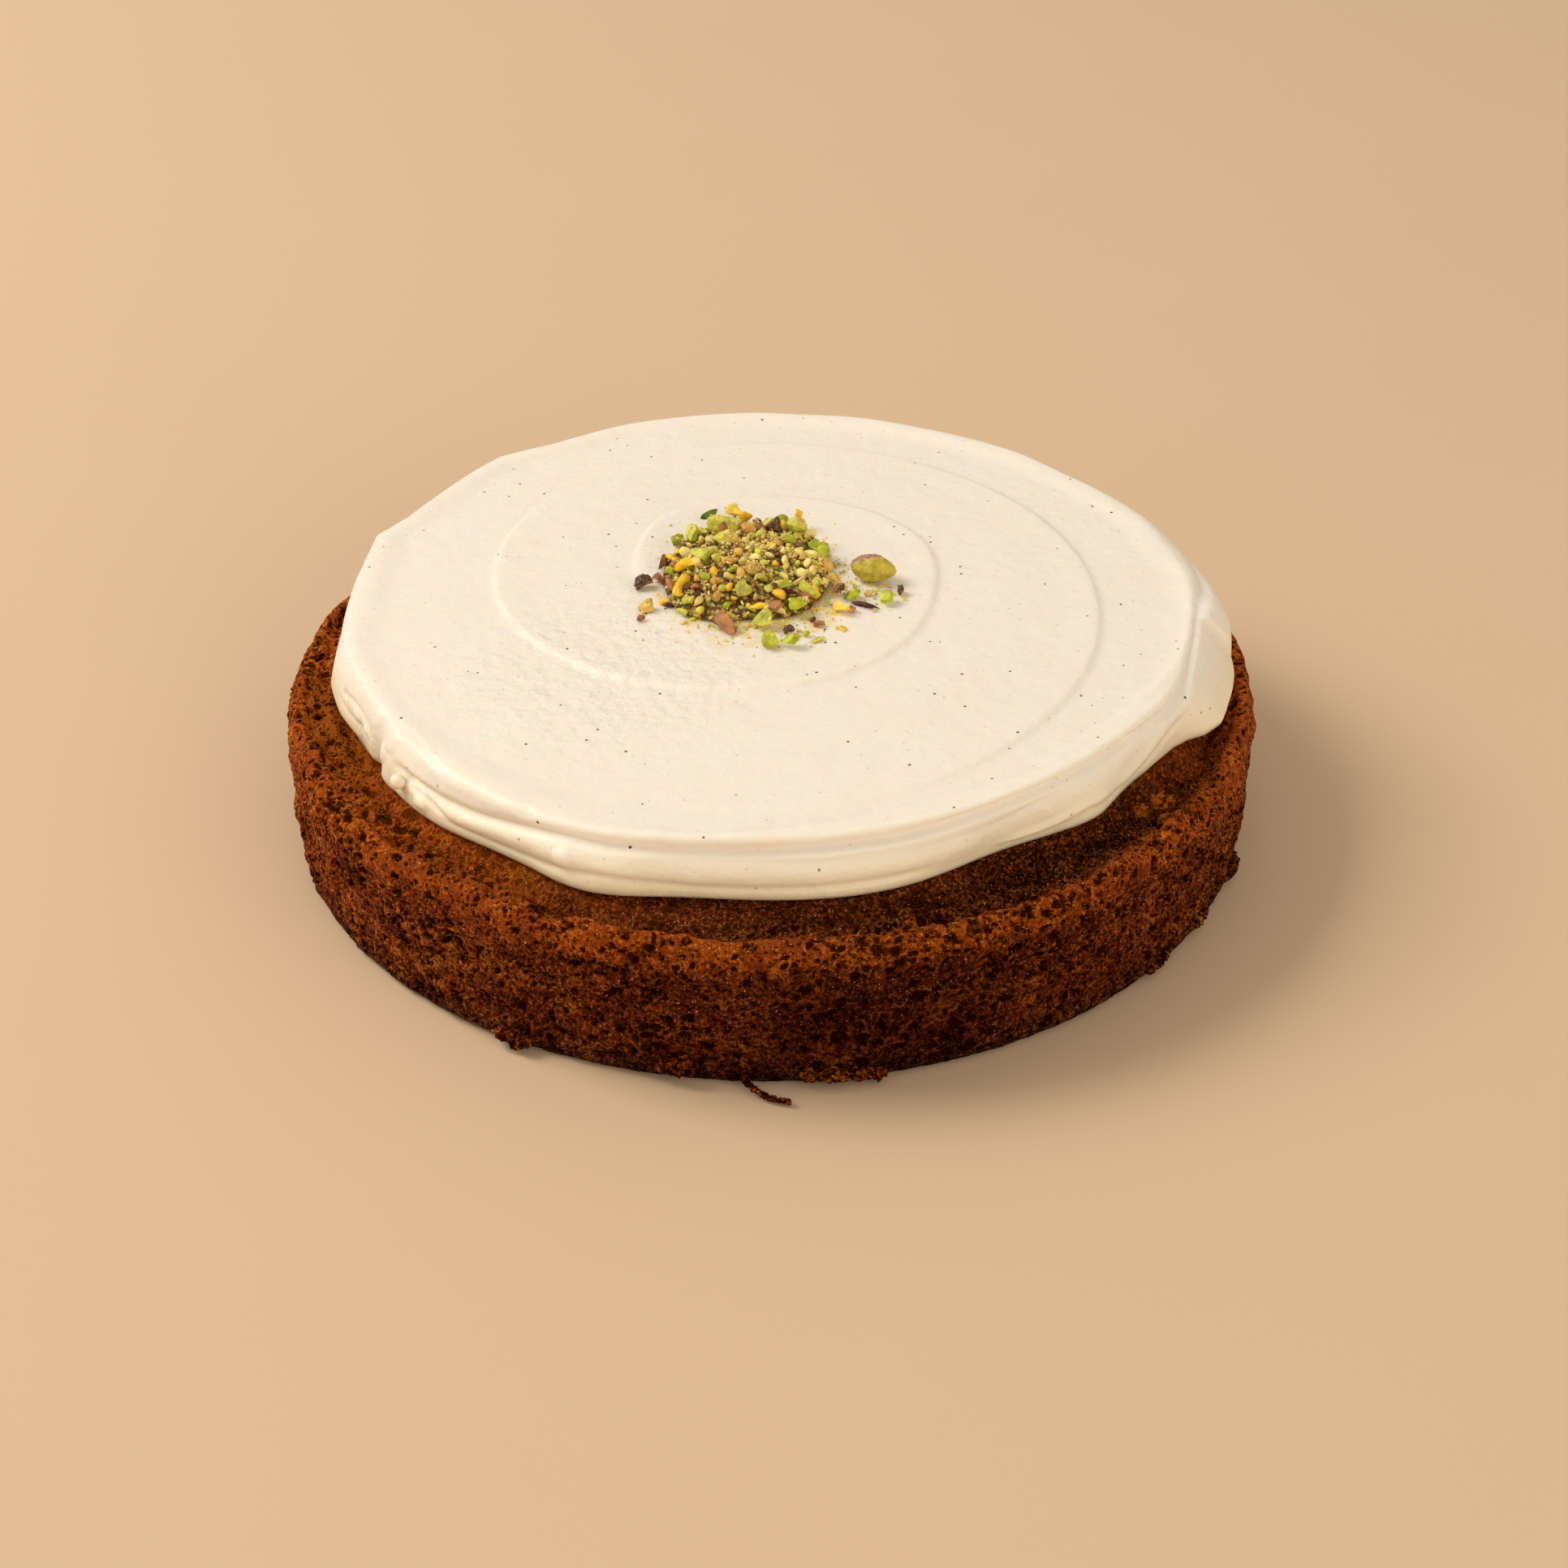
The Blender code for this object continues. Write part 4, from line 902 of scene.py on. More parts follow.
def rim_rows():
    """Angle, edge radius, and the radius and height of every row from inside the crest to the edge."""
    angle = (np.arange(CREAM_COLUMNS) * 360.0 / CREAM_COLUMNS)[:, None]
    lip = lip_radius(angle) + trimmed(angle, CREST_TRIM)
    edge = cream_edge(angle) + lobes(angle, EDGE_TIPS) + trimmed(angle, EDGE_TRIM)
    drop = LIP_HEIGHT - EDGE_HEIGHT
    length = np.hypot(edge - lip, drop)
    inside = np.linspace(-RIM_INSIDE, 0.0, RIM_INNER_ROWS + 1)[None, :-1]
    share = np.linspace(0.0, 1.0, RIM_OUTER_ROWS)[None, :]
    radius_in = lip + inside
    turn = np.radians(angle)
    x, y = radius_in * np.cos(turn), radius_in * np.sin(turn)
    line = trimmed(angle, LEFT_STEP)
    stepped = smooth_step(150.0, 158.0, angle) * smooth_step(264.0, 238.0, angle)
    step = smooth_step(line - 2.4, line + 0.4, inside)
    blend = stepped * step + (1.0 - stepped) * smooth_step(-9.0, -2.5, inside)
    crown = 0.45 * stepped * step * np.clip(-inside / 7.0, 0.0, 1.0)
    height_in = cream_top(x, y) * (1.0 - blend) + LIP_HEIGHT * blend + crown
    flare = smooth_step(4.0, 10.0, edge - lip)
    full = smooth_step(-10.0, 5.0, (angle + 180.0) % 360.0 - 180.0) * smooth_step(46.0, 32.0, angle)
    power = 1.0 + 0.8 * flare * (1.0 - full) - 0.35 * full
    swell = 0.8 + 1.4 * flare * (1.0 - full) + 2.2 * full
    radius_out = lip + (edge - lip) * share ** power + swell * np.sin(share * math.pi)
    height_out = LIP_HEIGHT - drop * share + np.zeros_like(radius_out)
    radius = np.concatenate([radius_in, radius_out], 1)
    height = np.concatenate([height_in, height_out], 1)
    out = np.concatenate([inside + np.zeros_like(lip), share * length], 1)
    for values in (radius, height):
        soften(values, 5)
        softer = values.copy()
        soften(softer, 26)
        values += stepped * (softer - values)
    slope_r, slope_z = np.gradient(radius, axis=1), np.gradient(height, axis=1)
    size = np.hypot(slope_r, slope_z)
    fade = smooth_step(-RIM_INSIDE, -RIM_INSIDE + 3.0, out)
    push = rim_relief(angle + np.zeros_like(out), out) * fade
    end = smooth_step(0.0, 1.2, length - out)
    radius = radius - slope_z / size * push * end
    height = height + slope_r / size * push * end
    return angle, edge, radius, height


def cream_surface(angle, edge, radius, height):
    """Points and faces of the whole cream."""
    turn = np.radians(angle[:, 0])
    border = [(reach * math.cos(here), reach * math.sin(here)) for reach, here in zip(radius[:, 0], turn)]
    flat = border + inner_points(radius[:, 0])
    layout = delaunay_2d_cdt([Vector(point) for point in flat], [], [list(range(CREAM_COLUMNS))], 1, 1e-5)
    places = np.array([tuple(point) for point in layout[0]])
    points = np.column_stack([places, cream_top(places[:, 0], places[:, 1])])
    rim = {}
    for place, source in enumerate(layout[3]):
        for index in source:
            if index < CREAM_COLUMNS:
                rim[index] = place
    for column in range(CREAM_COLUMNS):
        points[rim[column], 2] = height[column, 0]
    faces = [tuple(face) for face in layout[2]]
    rows = [(radius[:, row], height[:, row]) for row in range(1, radius.shape[1])]
    wide = edge[:, 0]
    for inset, lift in ((0.12, 1.0), (0.5, 0.1)):
        rows.append((wide - inset, np.full(CREAM_COLUMNS, TUCK_HEIGHT + lift)))
    for inset in (2.8, 16.0, 60.0):
        under = cream_edge(angle[:, 0]) - inset
        rows.append((under, dome(under) + GAP))
    previous = [rim[column] for column in range(CREAM_COLUMNS)]
    all_points = [points]
    start = len(points)
    for row_radius, row_height in rows:
        all_points.append(np.stack([row_radius * np.cos(turn), row_radius * np.sin(turn), row_height], 1))
        current = list(range(start, start + CREAM_COLUMNS))
        for column in range(CREAM_COLUMNS):
            beside = (column + 1) % CREAM_COLUMNS
            faces.append((previous[column], current[column], current[beside], previous[beside]))
        previous = current
        start += CREAM_COLUMNS
    all_points.append(np.array([(0.0, 0.0, float(dome(0.0)) + GAP)]))
    for column in range(CREAM_COLUMNS):
        faces.append((previous[column], start, previous[(column + 1) % CREAM_COLUMNS]))
    return np.concatenate(all_points), faces


# %% Points of the flat top
RIDGE_OFFSETS = (-3.4, -2.4, -1.7, -1.1, -0.5, 0.1, 0.7, 1.5, 2.6, 4.0, 5.6)
RIDGE_STEP = 1.3
TOP_REACH = 115
TOP_SPACING = 2.0


def inner_points(border_radius):
    """Points along the spatula's ridge, and evenly between."""
    draw = random.Random(5)
    steps = int(LINE_END * LINE_LAP / RIDGE_STEP)
    line = []
    for offset in RIDGE_OFFSETS:
        for step in range(steps + 1):
            turn = LINE_END * step / steps
            radius = np.interp(turn, LINE_TABLE[:, 0], LINE_TABLE[:, 1]) + offset
            x, y = around(LINE_START_ANGLE - 360.0 * turn, radius)
            line.append((x + LINE_CENTRE[0], y + LINE_CENTRE[1]))
    fill = []
    reach = int(TOP_REACH / TOP_SPACING)
    for row in range(-reach, reach + 1):
        for column in range(-reach, reach + 1):
            x = (column + 0.5 * (row % 2)) * TOP_SPACING + draw.uniform(-0.25, 0.25)
            y = row * TOP_SPACING * 0.87 + draw.uniform(-0.25, 0.25)
            fill.append((x, y))
    fill = np.array(fill)
    dx, dy = fill[:, 0] - LINE_CENTRE[0], fill[:, 1] - LINE_CENTRE[1]
    part = ((LINE_START_ANGLE - np.degrees(np.arctan2(dy, dx))) % 360.0) / 360.0
    clear = np.ones(len(fill), bool)
    for turns in (0, 1):
        gap = np.hypot(dx, dy) - np.interp(part + turns, LINE_TABLE[:, 0], LINE_TABLE[:, 1])
        clear &= ~((gap > -4.6) & (gap < 6.8) & (part + turns <= LINE_END))
    chosen = line + [tuple(point) for point in fill[clear]]
    flat = np.array(chosen)
    angle = np.degrees(np.arctan2(flat[:, 1], flat[:, 0])) % 360.0
    limit = np.interp(angle, np.arange(CREAM_COLUMNS + 1) * 360.0 / CREAM_COLUMNS,
                      np.append(border_radius, border_radius[0]))
    return [tuple(point) for point in flat[np.hypot(flat[:, 0], flat[:, 1]) < limit - 0.9]]


# %% A bead of cream on the rim
BEAD_ANGLE = 216.6
BEAD_ABOVE_EDGE = 3.2
BEAD_RADIUS = 1.9


def cream_bead(edge, radius, height):
    """A small round bead of cream that sits on the rim."""
    column = round(BEAD_ANGLE * CREAM_COLUMNS / 360.0)
    edge, radius, height = edge[column, 0], radius[column], height[column]
    row = np.argmin(np.abs(np.hypot(radius - edge, height - EDGE_HEIGHT) - BEAD_ABOVE_EDGE))
    points, faces = ball(4)
    points = points * BEAD_RADIUS * (1.0 + 0.06 * ripple(points, 0.9, 3.0))[:, None]
    return points + np.array((*around(BEAD_ANGLE, radius[row] + 1.1), height[row] + 0.7)), faces


rim = rim_rows()
cream_points, cream_faces = cream_surface(*rim)
bead_points, bead_faces = cream_bead(*rim[1:])
cream_faces += [tuple(index + len(cream_points) for index in face) for face in bead_faces]
cream_points = np.concatenate([cream_points, bead_points])
print("cream:", len(cream_points), "points")

# %% [markdown]
# ### The finish of the cream
# Whipped cream cheese is a fat with fine air in it: light goes a little way in and comes out warmer, and the
# surface has a satin gloss. Vanilla seeds are dark brown specks under a millimetre across, many of them faint
# and a few orange. They are drawn as small balls in space, which the surface cuts through, so they look the
# same on top and side. The cream is tinted yellow round the heap.

# %% Vanilla cream
def seeds(tree, place, spacing, share, size, seed):
    """1 inside rare balls of that radius in metres."""
    cells = add(tree, "ShaderNodeTexVoronoi", {"Vector": place, "Scale": 1.0 / spacing})
    chance = add(tree, "ShaderNodeSeparateXYZ", {0: cells.outputs["Color"]})
    few = add(tree, "ShaderNodeMath", {0: chance.outputs[seed], 1: 1.0 - share}, operation="GREATER_THAN")
    near = add(tree, "ShaderNodeMapRange", {
        0: cells.outputs["Distance"], 1: size / spacing, 2: 0.6 * size / spacing})
    return add(tree, "ShaderNodeMath", {0: few, 1: near}, operation="MULTIPLY")


def vanilla_cream():
    material, tree, shader = new_finish("Vanilla cream cheese frosting")
    place = add(tree, "ShaderNodeTexCoord").outputs["Object"]
    mottle = add(tree, "ShaderNodeTexNoise", {"Vector": place, "Scale": 60.0, "Detail": 3.0})
    ivory = add(tree, "ShaderNodeValToRGB", {0: mottle})
    ivory.color_ramp.elements[0].position = 0.3
    ivory.color_ramp.elements[0].color = colour("#f8f0e4")
    ivory.color_ramp.elements[1].position = 0.7
    ivory.color_ramp.elements[1].color = colour("#faf2e8")
    dark = seeds(tree, place, 2.4 * MM, 0.055, 0.45 * MM, 0)
    faint = seeds(tree, place, 2.6 * MM, 0.15, 0.42 * MM, 1)
    faint = add(tree, "ShaderNodeMath", {0: faint, 1: 0.3}, operation="MULTIPLY")
    amber = seeds(tree, place, 3.7 * MM, 0.02, 0.5 * MM, 2)
    amber = add(tree, "ShaderNodeMath", {0: amber, 1: 0.6}, operation="MULTIPLY")
    surface = ivory
    for mask, tint in ((faint, "#8a8078"), (amber, "#b9743c"), (dark, "#3a2c22")):
        speckled = add(tree, "ShaderNodeMix", {0: mask, 6: surface, 7: colour(tint)}, data_type="RGBA")
        surface = speckled.outputs[2]
    height = add(tree, "ShaderNodeSeparateXYZ", {0: place}).outputs[2]
    # Warmer towards the low edge: partly the crust showing through thin cream, partly painted warm light
    # reflected from below.
    thin = add(tree, "ShaderNodeMapRange", {0: height, 1: 0.053, 2: 0.0425, 4: 0.75})
    warm = add(tree, "ShaderNodeMix", {0: thin, 6: surface, 7: colour("#fbe2b8")},
               data_type="RGBA")
    away = add(tree, "ShaderNodeVectorMath", {0: place, 1: (-0.004, 0.009, 0.059)}, operation="SUBTRACT")
    away = add(tree, "ShaderNodeVectorMath", {0: away, 1: (1 / 0.024, 1 / 0.027, 0.0)}, operation="MULTIPLY")
    away = add(tree, "ShaderNodeVectorMath", {0: away}, operation="LENGTH")
    meal = add(tree, "ShaderNodeTexNoise", {"Vector": place, "Scale": 260.0, "Detail": 3.0})
    # A yellow tint on the cream round the heap, patchy with noise.
    yellow_halo = add(tree, "ShaderNodeMath", {0: meal, 1: -1.6, 2: away.outputs["Value"]},
                operation="MULTIPLY_ADD")
    yellow_halo = add(tree, "ShaderNodeMapRange", {0: yellow_halo, 1: 0.3, 2: 0.0, 4: 0.5})
    haloed = add(tree, "ShaderNodeMix", {0: yellow_halo, 6: warm.outputs[2], 7: colour("#f2d050")},
                  data_type="RGBA")
    swirl = add(tree, "ShaderNodeTexNoise", {"Vector": place, "Scale": 160.0, "Detail": 3.0})
    pores = add(tree, "ShaderNodeTexNoise", {"Vector": place, "Scale": 900.0, "Detail": 2.0})
    dimples = add(tree, "ShaderNodeTexNoise", {"Vector": place, "Scale": 290.0, "Detail": 2.0})
    apart = add(tree, "ShaderNodeVectorMath", {0: place, 1: (-0.042, -0.034, 0.058)}, operation="DISTANCE")
    where = add(tree, "ShaderNodeMapRange", {0: apart.outputs["Value"], 1: 0.016, 2: 0.052, 3: 2.6, 4: 0.5},
                interpolation_type="SMOOTHSTEP")
    dimpled = add(tree, "ShaderNodeMath", {0: dimples, 1: where}, operation="MULTIPLY")
    relief = add(tree, "ShaderNodeMath", {0: pores, 1: 0.25, 2: swirl}, operation="MULTIPLY_ADD")
    relief = add(tree, "ShaderNodeMath", {0: dimpled, 1: 0.9, 2: relief}, operation="MULTIPLY_ADD")
    bump = add(tree, "ShaderNodeBump", {"Height": relief, "Distance": 0.9 * MM, "Strength": 0.6})
    wire(tree, shader, {
        "Base Color": haloed.outputs[2], "Roughness": 0.42, "Specular IOR Level": 0.4,
        "Subsurface Weight": 0.7, "Subsurface Radius": (1.0, 0.6, 0.35), "Subsurface Scale": 3.0 * MM,
        "Normal": bump})
    return material


cream_finish = vanilla_cream()
cream_mesh = new_mesh("cream_frosting", cream_points, cream_faces)
new_piece("cream_frosting", cream_mesh, cream_finish, "frosting")

# %% [markdown]
# ## Chopped pistachios
# Chopped pistachios come in a few kinds: bright green where the inside was cut, yellow-green where it was
# rubbed with meal, golden and tan where they were toasted, and purple-brown where the thin skin shows. Each
# kind is one piece with one finish, made of lumps in their measured places.

# %% The finish of a kind of nut
def nut_finish(name, outside, inside, dusted, rough, dust_share):
    """A toasted nut: its outside, its cut inside, and meal that clings to it."""
    material, tree, shader = new_finish(name)
    place = add(tree, "ShaderNodeTexCoord").outputs["Object"]
    cut = add(tree, "ShaderNodeAttribute", attribute_name="cut").outputs["Fac"]
    tone = add(tree, "ShaderNodeAttribute", attribute_name="tone").outputs["Fac"]
    cloud = add(tree, "ShaderNodeTexNoise", {"Vector": place, "Scale": 420.0, "Detail": 3.0})
    fine = add(tree, "ShaderNodeTexNoise", {
        "Vector": place, "Scale": 1700.0, "Detail": 3.0, "Roughness": 0.6})
    flesh = add(tree, "ShaderNodeMix", {0: cut, 6: colour(outside), 7: colour(inside)}, data_type="RGBA")
    uneven = add(tree, "ShaderNodeMapRange", {0: cloud, 1: 0.35, 2: 0.65, 3: 0.62, 4: 1.25})
    uneven = add(tree, "ShaderNodeMath", {0: tone, 1: 0.3, 2: uneven}, operation="MULTIPLY_ADD")
    level = add(tree, "ShaderNodeVectorMath", {0: flesh.outputs[2], 3: uneven}, operation="SCALE")
    meal = add(tree, "ShaderNodeMapRange", {
        0: fine, 1: 0.62 - 0.2 * dust_share, 2: 0.70 - 0.2 * dust_share})
    covered = add(tree, "ShaderNodeMath", {0: meal, 1: dust_share}, operation="MULTIPLY")
    surface = add(tree, "ShaderNodeMix", {0: covered, 6: level, 7: colour(dusted)},
                  data_type="RGBA")
    bump = add(tree, "ShaderNodeBump", {"Height": fine, "Distance": 0.25 * MM, "Strength": 0.8})
    wire(tree, shader, {
        "Base Color": surface.outputs[2], "Roughness": rough, "Subsurface Weight": 0.12,
        "Subsurface Radius": (1.0, 0.8, 0.3), "Subsurface Scale": 0.8 * MM, "Normal": bump})
    return material


NUT_KINDS = {
    "leaf": ("Pistachio, dark green side", "#3d5208", "#6c8c14", "#a89a40", 0.4, 0.12),
    "green": ("Pistachio, fresh cut", "#a2a414", "#b9c42c", "#e6d670", 0.4, 0.22),
    "lime": ("Pistachio, rubbed with meal", "#cbb63c", "#c8cc44", "#f2de90", 0.5, 0.5),
    "gold": ("Pistachio, toasted yellow", "#f0b81a", "#fad030", "#fadc70", 0.42, 0.25),
    "tan": ("Pistachio, toasted brown", "#b47c1c", "#dab04c", "#efd28a", 0.6, 0.6),
    "skin": ("Pistachio skin, dark", "#482612", "#845424", "#c49a5c", 0.36, 0.45),
    "rose": ("Pistachio skin, pink brown", "#8f4f34", "#b87c48", "#dca878", 0.42, 0.4),
    "wine": ("Pistachio skin, purple", "#42121e", "#5a2028", "#94584c", 0.33, 0.15),
    "meal": ("Pistachio meal", "#e0c668", "#eeda8a", "#f4e29c", 0.7, 0.5),
}
nut_finishes = {kind: nut_finish(*values) for kind, values in NUT_KINDS.items()}
print("nut finishes:", sorted(nut_finishes))

# %% [markdown]
# ### Where the chopped pieces lie
# Each row is one piece: its middle in plan, how high its middle lies over a level of 59 mm, its turn in plan,
# its length, width and thickness, and its kind. A piece that has to lie lower or higher than its row says
# slides along the line of sight of the camera, so that it is seen in the same place.

# %% Pieces of the heap and pieces that rolled off
HEAP_MIDDLE = (-4.0, 15.5)
HEAP_RADIUS = 22.4
HEAP_STRETCH = (1.0, 1.2)
HEAP_HEIGHT = 6.2
HEAP_STEPS = [(0.0, 1.0), (0.3, 0.98), (0.56, 0.84), (0.76, 0.6), (0.9, 0.34), (1.0, 0.14)]
HEAP_PIECES = [
    (-15.9, 38.5, 7.0, 40, 7.4, 2.4, 2.4, "leaf"), (-9.2, 41.2, 6.2, 0, 5.5, 4.0, 3.8, "gold"),
    (-12.8, 32.9, 6.6, 9, 10.8, 6.6, 6.8, "lime"), (-12.5, 26.8, 5.6, -9, 9.6, 6.2, 6.4, "lime"),
    (-20.5, 30.9, 4.6, 85, 5.7, 3.8, 4.4, "lime"), (-24.6, 29.1, 3.0, 82, 5.4, 4.2, 4.2, "green"),
    (-16.7, 18.0, 4.8, -34, 7.3, 6.1, 5.6, "lime"), (-22.2, 14.4, 3.6, -41, 6.6, 5.0, 4.8, "gold"),
    (-22.7, 4.9, 3.0, 83, 8.4, 5.0, 5.0, "gold"), (-5.2, 29.2, 6.4, 0, 4.4, 4.2, 3.8, "tan"),
    (-6.7, 39.5, 5.4, 34, 5.0, 4.0, 3.6, "gold"), (0.8, 31.3, 6.6, -41, 5.2, 4.2, 4.0, "skin"),
    (6.7, 32.1, 5.6, 21, 6.9, 5.2, 4.8, "lime"), (7.6, 36.6, 8.0, 73, 3.7, 2.6, 4.6, "gold"),
    (14.5, 22.3, 3.6, 79, 5.9, 3.8, 3.8, "green"), (12.0, 23.4, 4.4, 34, 4.4, 3.9, 3.8, "green"),
    (5.7, 23.6, 6.2, 18, 5.4, 3.0, 2.8, "green"), (7.8, 17.9, 6.2, 0, 2.9, 2.6, 2.6, "lime"),
    (11.9, 11.2, 4.6, 18, 3.4, 2.6, 2.4, "tan"), (10.9, 0.9, 3.4, 18, 6.7, 5.5, 5.1, "lime"),
    (17.9, 4.3, 2.6, 76, 5.8, 2.9, 2.8, "skin"), (16.7, 9.6, 3.0, 34, 4.3, 2.9, 2.6, "tan"),
    (13.3, 5.8, 3.4, -47, 5.3, 1.9, 1.8, "lime"), (6.8, -5.5, 2.6, 47, 6.4, 5.0, 4.6, "green"),
    (-1.7, -11.3, 2.6, -21, 6.4, 4.7, 4.3, "lime"), (-2.7, -7.0, 3.4, 41, 5.2, 2.8, 1.6, "gold"),
    (-7.2, -0.2, 4.0, 15, 6.2, 3.4, 3.0, "lime"), (3.7, 1.4, 5.0, 0, 5.3, 2.6, 2.4, "green"),
    (3.7, -1.3, 4.6, 0, 7.1, 1.2, 1.0, "wine"), (-4.2, 8.5, 5.8, 26, 4.3, 3.8, 3.5, "tan"),
    (-1.5, 4.2, 5.4, 0, 4.1, 2.4, 2.2, "lime"), (-11.0, 13.3, 5.4, 0, 3.4, 2.9, 2.6, "tan"),
    (-13.6, 5.4, 4.2, 0, 4.3, 3.2, 3.0, "tan"), (-20.6, -1.9, 2.2, 73, 4.3, 3.3, 3.2, "lime"),
    (-16.5, 6.7, 4.0, 0, 2.9, 2.4, 2.2, "green"), (-12.0, 1.3, 4.0, 34, 3.8, 2.4, 2.2, "lime"),
    (-27.8, 19.2, 2.2, 66, 6.3, 2.6, 2.6, "skin"), (1.8, -5.5, 2.6, 73, 4.3, 3.3, 3.0, "rose"),
    (-2.7, 26.0, 6.6, 0, 3.9, 2.4, 2.2, "lime"), (0.3, 19.9, 6.8, 0, 2.7, 2.4, 2.2, "gold"),
    (10.6, 18.0, 6.2, 100, 4.8, 1.1, 0.8, "wine"), (-9.5, 34.5, 8.6, 110, 3.2, 1.5, 0.9, "wine"),
]
LOOSE_PIECES = [
    (-32.5, 9.7, 1.3, 52, 5.3, 3.6, 3.3, "skin"), (-28.5, 11.7, 1.0, -34, 3.9, 3.4, 2.6, "rose"),
    (-30.8, -3.1, 1.5, 18, 5.2, 3.8, 3.5, "tan"), (-26.6, 0.0, 0.9, 18, 3.6, 2.2, 1.8, "gold"),
    (-25.6, -1.4, 0.6, 10, 2.8, 1.4, 1.2, "wine"), (-32.5, -8.1, 0.5, 47, 2.4, 1.9, 1.4, "rose"),
    (-11.3, -12.9, 1.6, -55, 8.5, 4.0, 3.6, "rose"), (0.7, -21.3, 1.8, 34, 5.1, 5.0, 4.4, "green"),
    (5.6, -21.4, 1.6, -9, 5.6, 3.8, 3.6, "green"), (5.1, -14.7, 1.0, 41, 3.1, 2.5, 2.2, "skin"),
    (18.7, -4.2, 1.6, -18, 4.8, 4.0, 3.6, "gold"), (24.7, -1.1, 0.7, -25, 7.2, 1.8, 1.5, "wine"),
    (30.5, 0.8, 1.7, 18, 4.8, 4.2, 3.9, "green"), (34.2, 5.2, 1.3, 79, 3.4, 2.5, 2.4, "skin"),
    (21.5, 3.2, 1.3, 26, 4.1, 3.4, 3.2, "green"), (12.9, -11.3, 0.7, 0, 3.1, 2.1, 1.8, "rose"),
    (18.8, -13.0, 0.6, 34, 2.6, 1.9, 1.5, "gold"), (12.4, -18.6, 0.5, 41, 4.4, 1.8, 1.2, "lime"),
    (9.4, -16.3, 0.7, 0, 2.1, 1.9, 1.5, "green"), (-22.9, -3.9, 0.6, 10, 3.4, 2.2, 1.3, "lime"),
    (-19.3, -7.8, 0.4, 30, 2.4, 1.6, 1.0, "green"), (20.9, -3.8, 0.8, 73, 2.9, 2.4, 1.8, "rose"),
    (26.0, 4.6, 0.8, 10, 3.0, 2.0, 1.6, "tan"), (11.2, -8.8, 0.7, 60, 2.4, 1.6, 1.4, "skin"),
]
NUT_LEVEL = 59.0
SIGHT_SLOPE = 1.564


def heap_outline(angle):
    """Radius of the heap's core before it is stretched."""
    turn = math.radians(angle)
    return HEAP_RADIUS * (1.0 + 0.16 * noise.noise(Vector((math.cos(turn), math.sin(turn), 0.4)) * 1.3))


def heap_top(x, y):
    """Height of the heap's core over a point of the cream."""
    across, along = (x - HEAP_MIDDLE[0]) / HEAP_STRETCH[0], (y - HEAP_MIDDLE[1]) / HEAP_STRETCH[1]
    share = math.hypot(across, along) / heap_outline(math.degrees(math.atan2(along, across)))
    rise = curve_through(HEAP_STEPS, share) if share < 1.0 else 0.0
    return cream_bed(x, y) + GAP + HEAP_HEIGHT * rise


def settled(x, y, lift, thickness, ground, low, high):
    """Rest a piece on the ground below it, and slide it so that it is seen in the same place."""
    for _ in range(4):
        bed = ground(x, y)
        height = min(max(NUT_LEVEL + lift, bed + low * thickness), bed + high * thickness)
        y -= SIGHT_SLOPE * (height - NUT_LEVEL - lift)
        lift = height - NUT_LEVEL
    return x, y, height


def cream_bed(x, y):
    """Height of the cream's top at one point."""
    return float(cream_top(np.array(x), np.array(y)))


# %% Lumps of every kind
HEAP_LIMIT = 68.0
draw = random.Random(29)
by_kind = {kind: [] for kind in NUT_KINDS}
for table, ground, low, high in ((HEAP_PIECES, heap_top, 0.22, 0.8), (LOOSE_PIECES, cream_bed, 0.42, 0.46)):
    for x, y, lift, turn, length, width, thickness, kind in table:
        place = settled(x, y, lift, thickness, ground, low, high)
        thin = kind in ("skin", "rose", "wine")
        level = 4 if length > 3.5 else 3
        made, sides, cut = lump(
            (length, width, thickness), place, turn, draw, cuts=3 if thin else 6,
            rough=0.3 if thin else 0.08, level=level, bend=0.25 if thin else 0.0, tilt=0.25)
        made[:, 2] -= max(made[:, 2].max() - HEAP_LIMIT, 0.0)
        by_kind[kind].append((made, sides, cut))
print({kind: len(lumps) for kind, lumps in by_kind.items()})

# %% Rubble between them
RUBBLE_COUNT = 145
RUBBLE_KINDS = ["meal"] * 8 + ["lime"] * 10 + ["tan"] * 3 + ["green"] * 2 + ["gold"] + ["skin"] * 2 + ["rose"]
GOLDEN_TURN = 137.508
for index in range(RUBBLE_COUNT):
    share = math.sqrt((index + 0.5) / RUBBLE_COUNT)
    angle = index * GOLDEN_TURN % 360.0
    x, y = around(angle, heap_outline(angle) * share)
    x = x * HEAP_STRETCH[0] + HEAP_MIDDLE[0] + draw.uniform(-0.8, 0.8)
    y = y * HEAP_STRETCH[1] + HEAP_MIDDLE[1] + draw.uniform(-0.8, 0.8)
    size = draw.uniform(1.6, 4.6) * (0.7 + 0.4 * share)
    place = (x, y, heap_top(x, y) + draw.uniform(0.0, 0.35) * size)
    kind = draw.choice(RUBBLE_KINDS)
    block = (size, size * draw.uniform(0.5, 0.9), size * draw.uniform(0.4, 0.8))
    made, sides, cut = lump(block, place, draw.uniform(0, 180), draw, cuts=4, rough=0.1, level=2, tilt=1.2)
    made[:, 2] -= max(made[:, 2].max() - HEAP_LIMIT, 0.0)
    by_kind[kind].append((made, sides, cut))
for kind, lumps in by_kind.items():
    points, faces, cuts, tones = join(lumps, draw)
    mesh = new_mesh(f"nuts_{kind}", points, faces, {"cut": cuts, "tone": tones})
    new_piece(f"nuts_{kind}", mesh, nut_finishes[kind])

# %% [markdown]
# ### The core of the heap
# Under the loose pieces lies packed meal. It keeps the form of its solid, with grains a little over 1 mm
# across as relief, and its finish takes one of six nut colours for each grain.

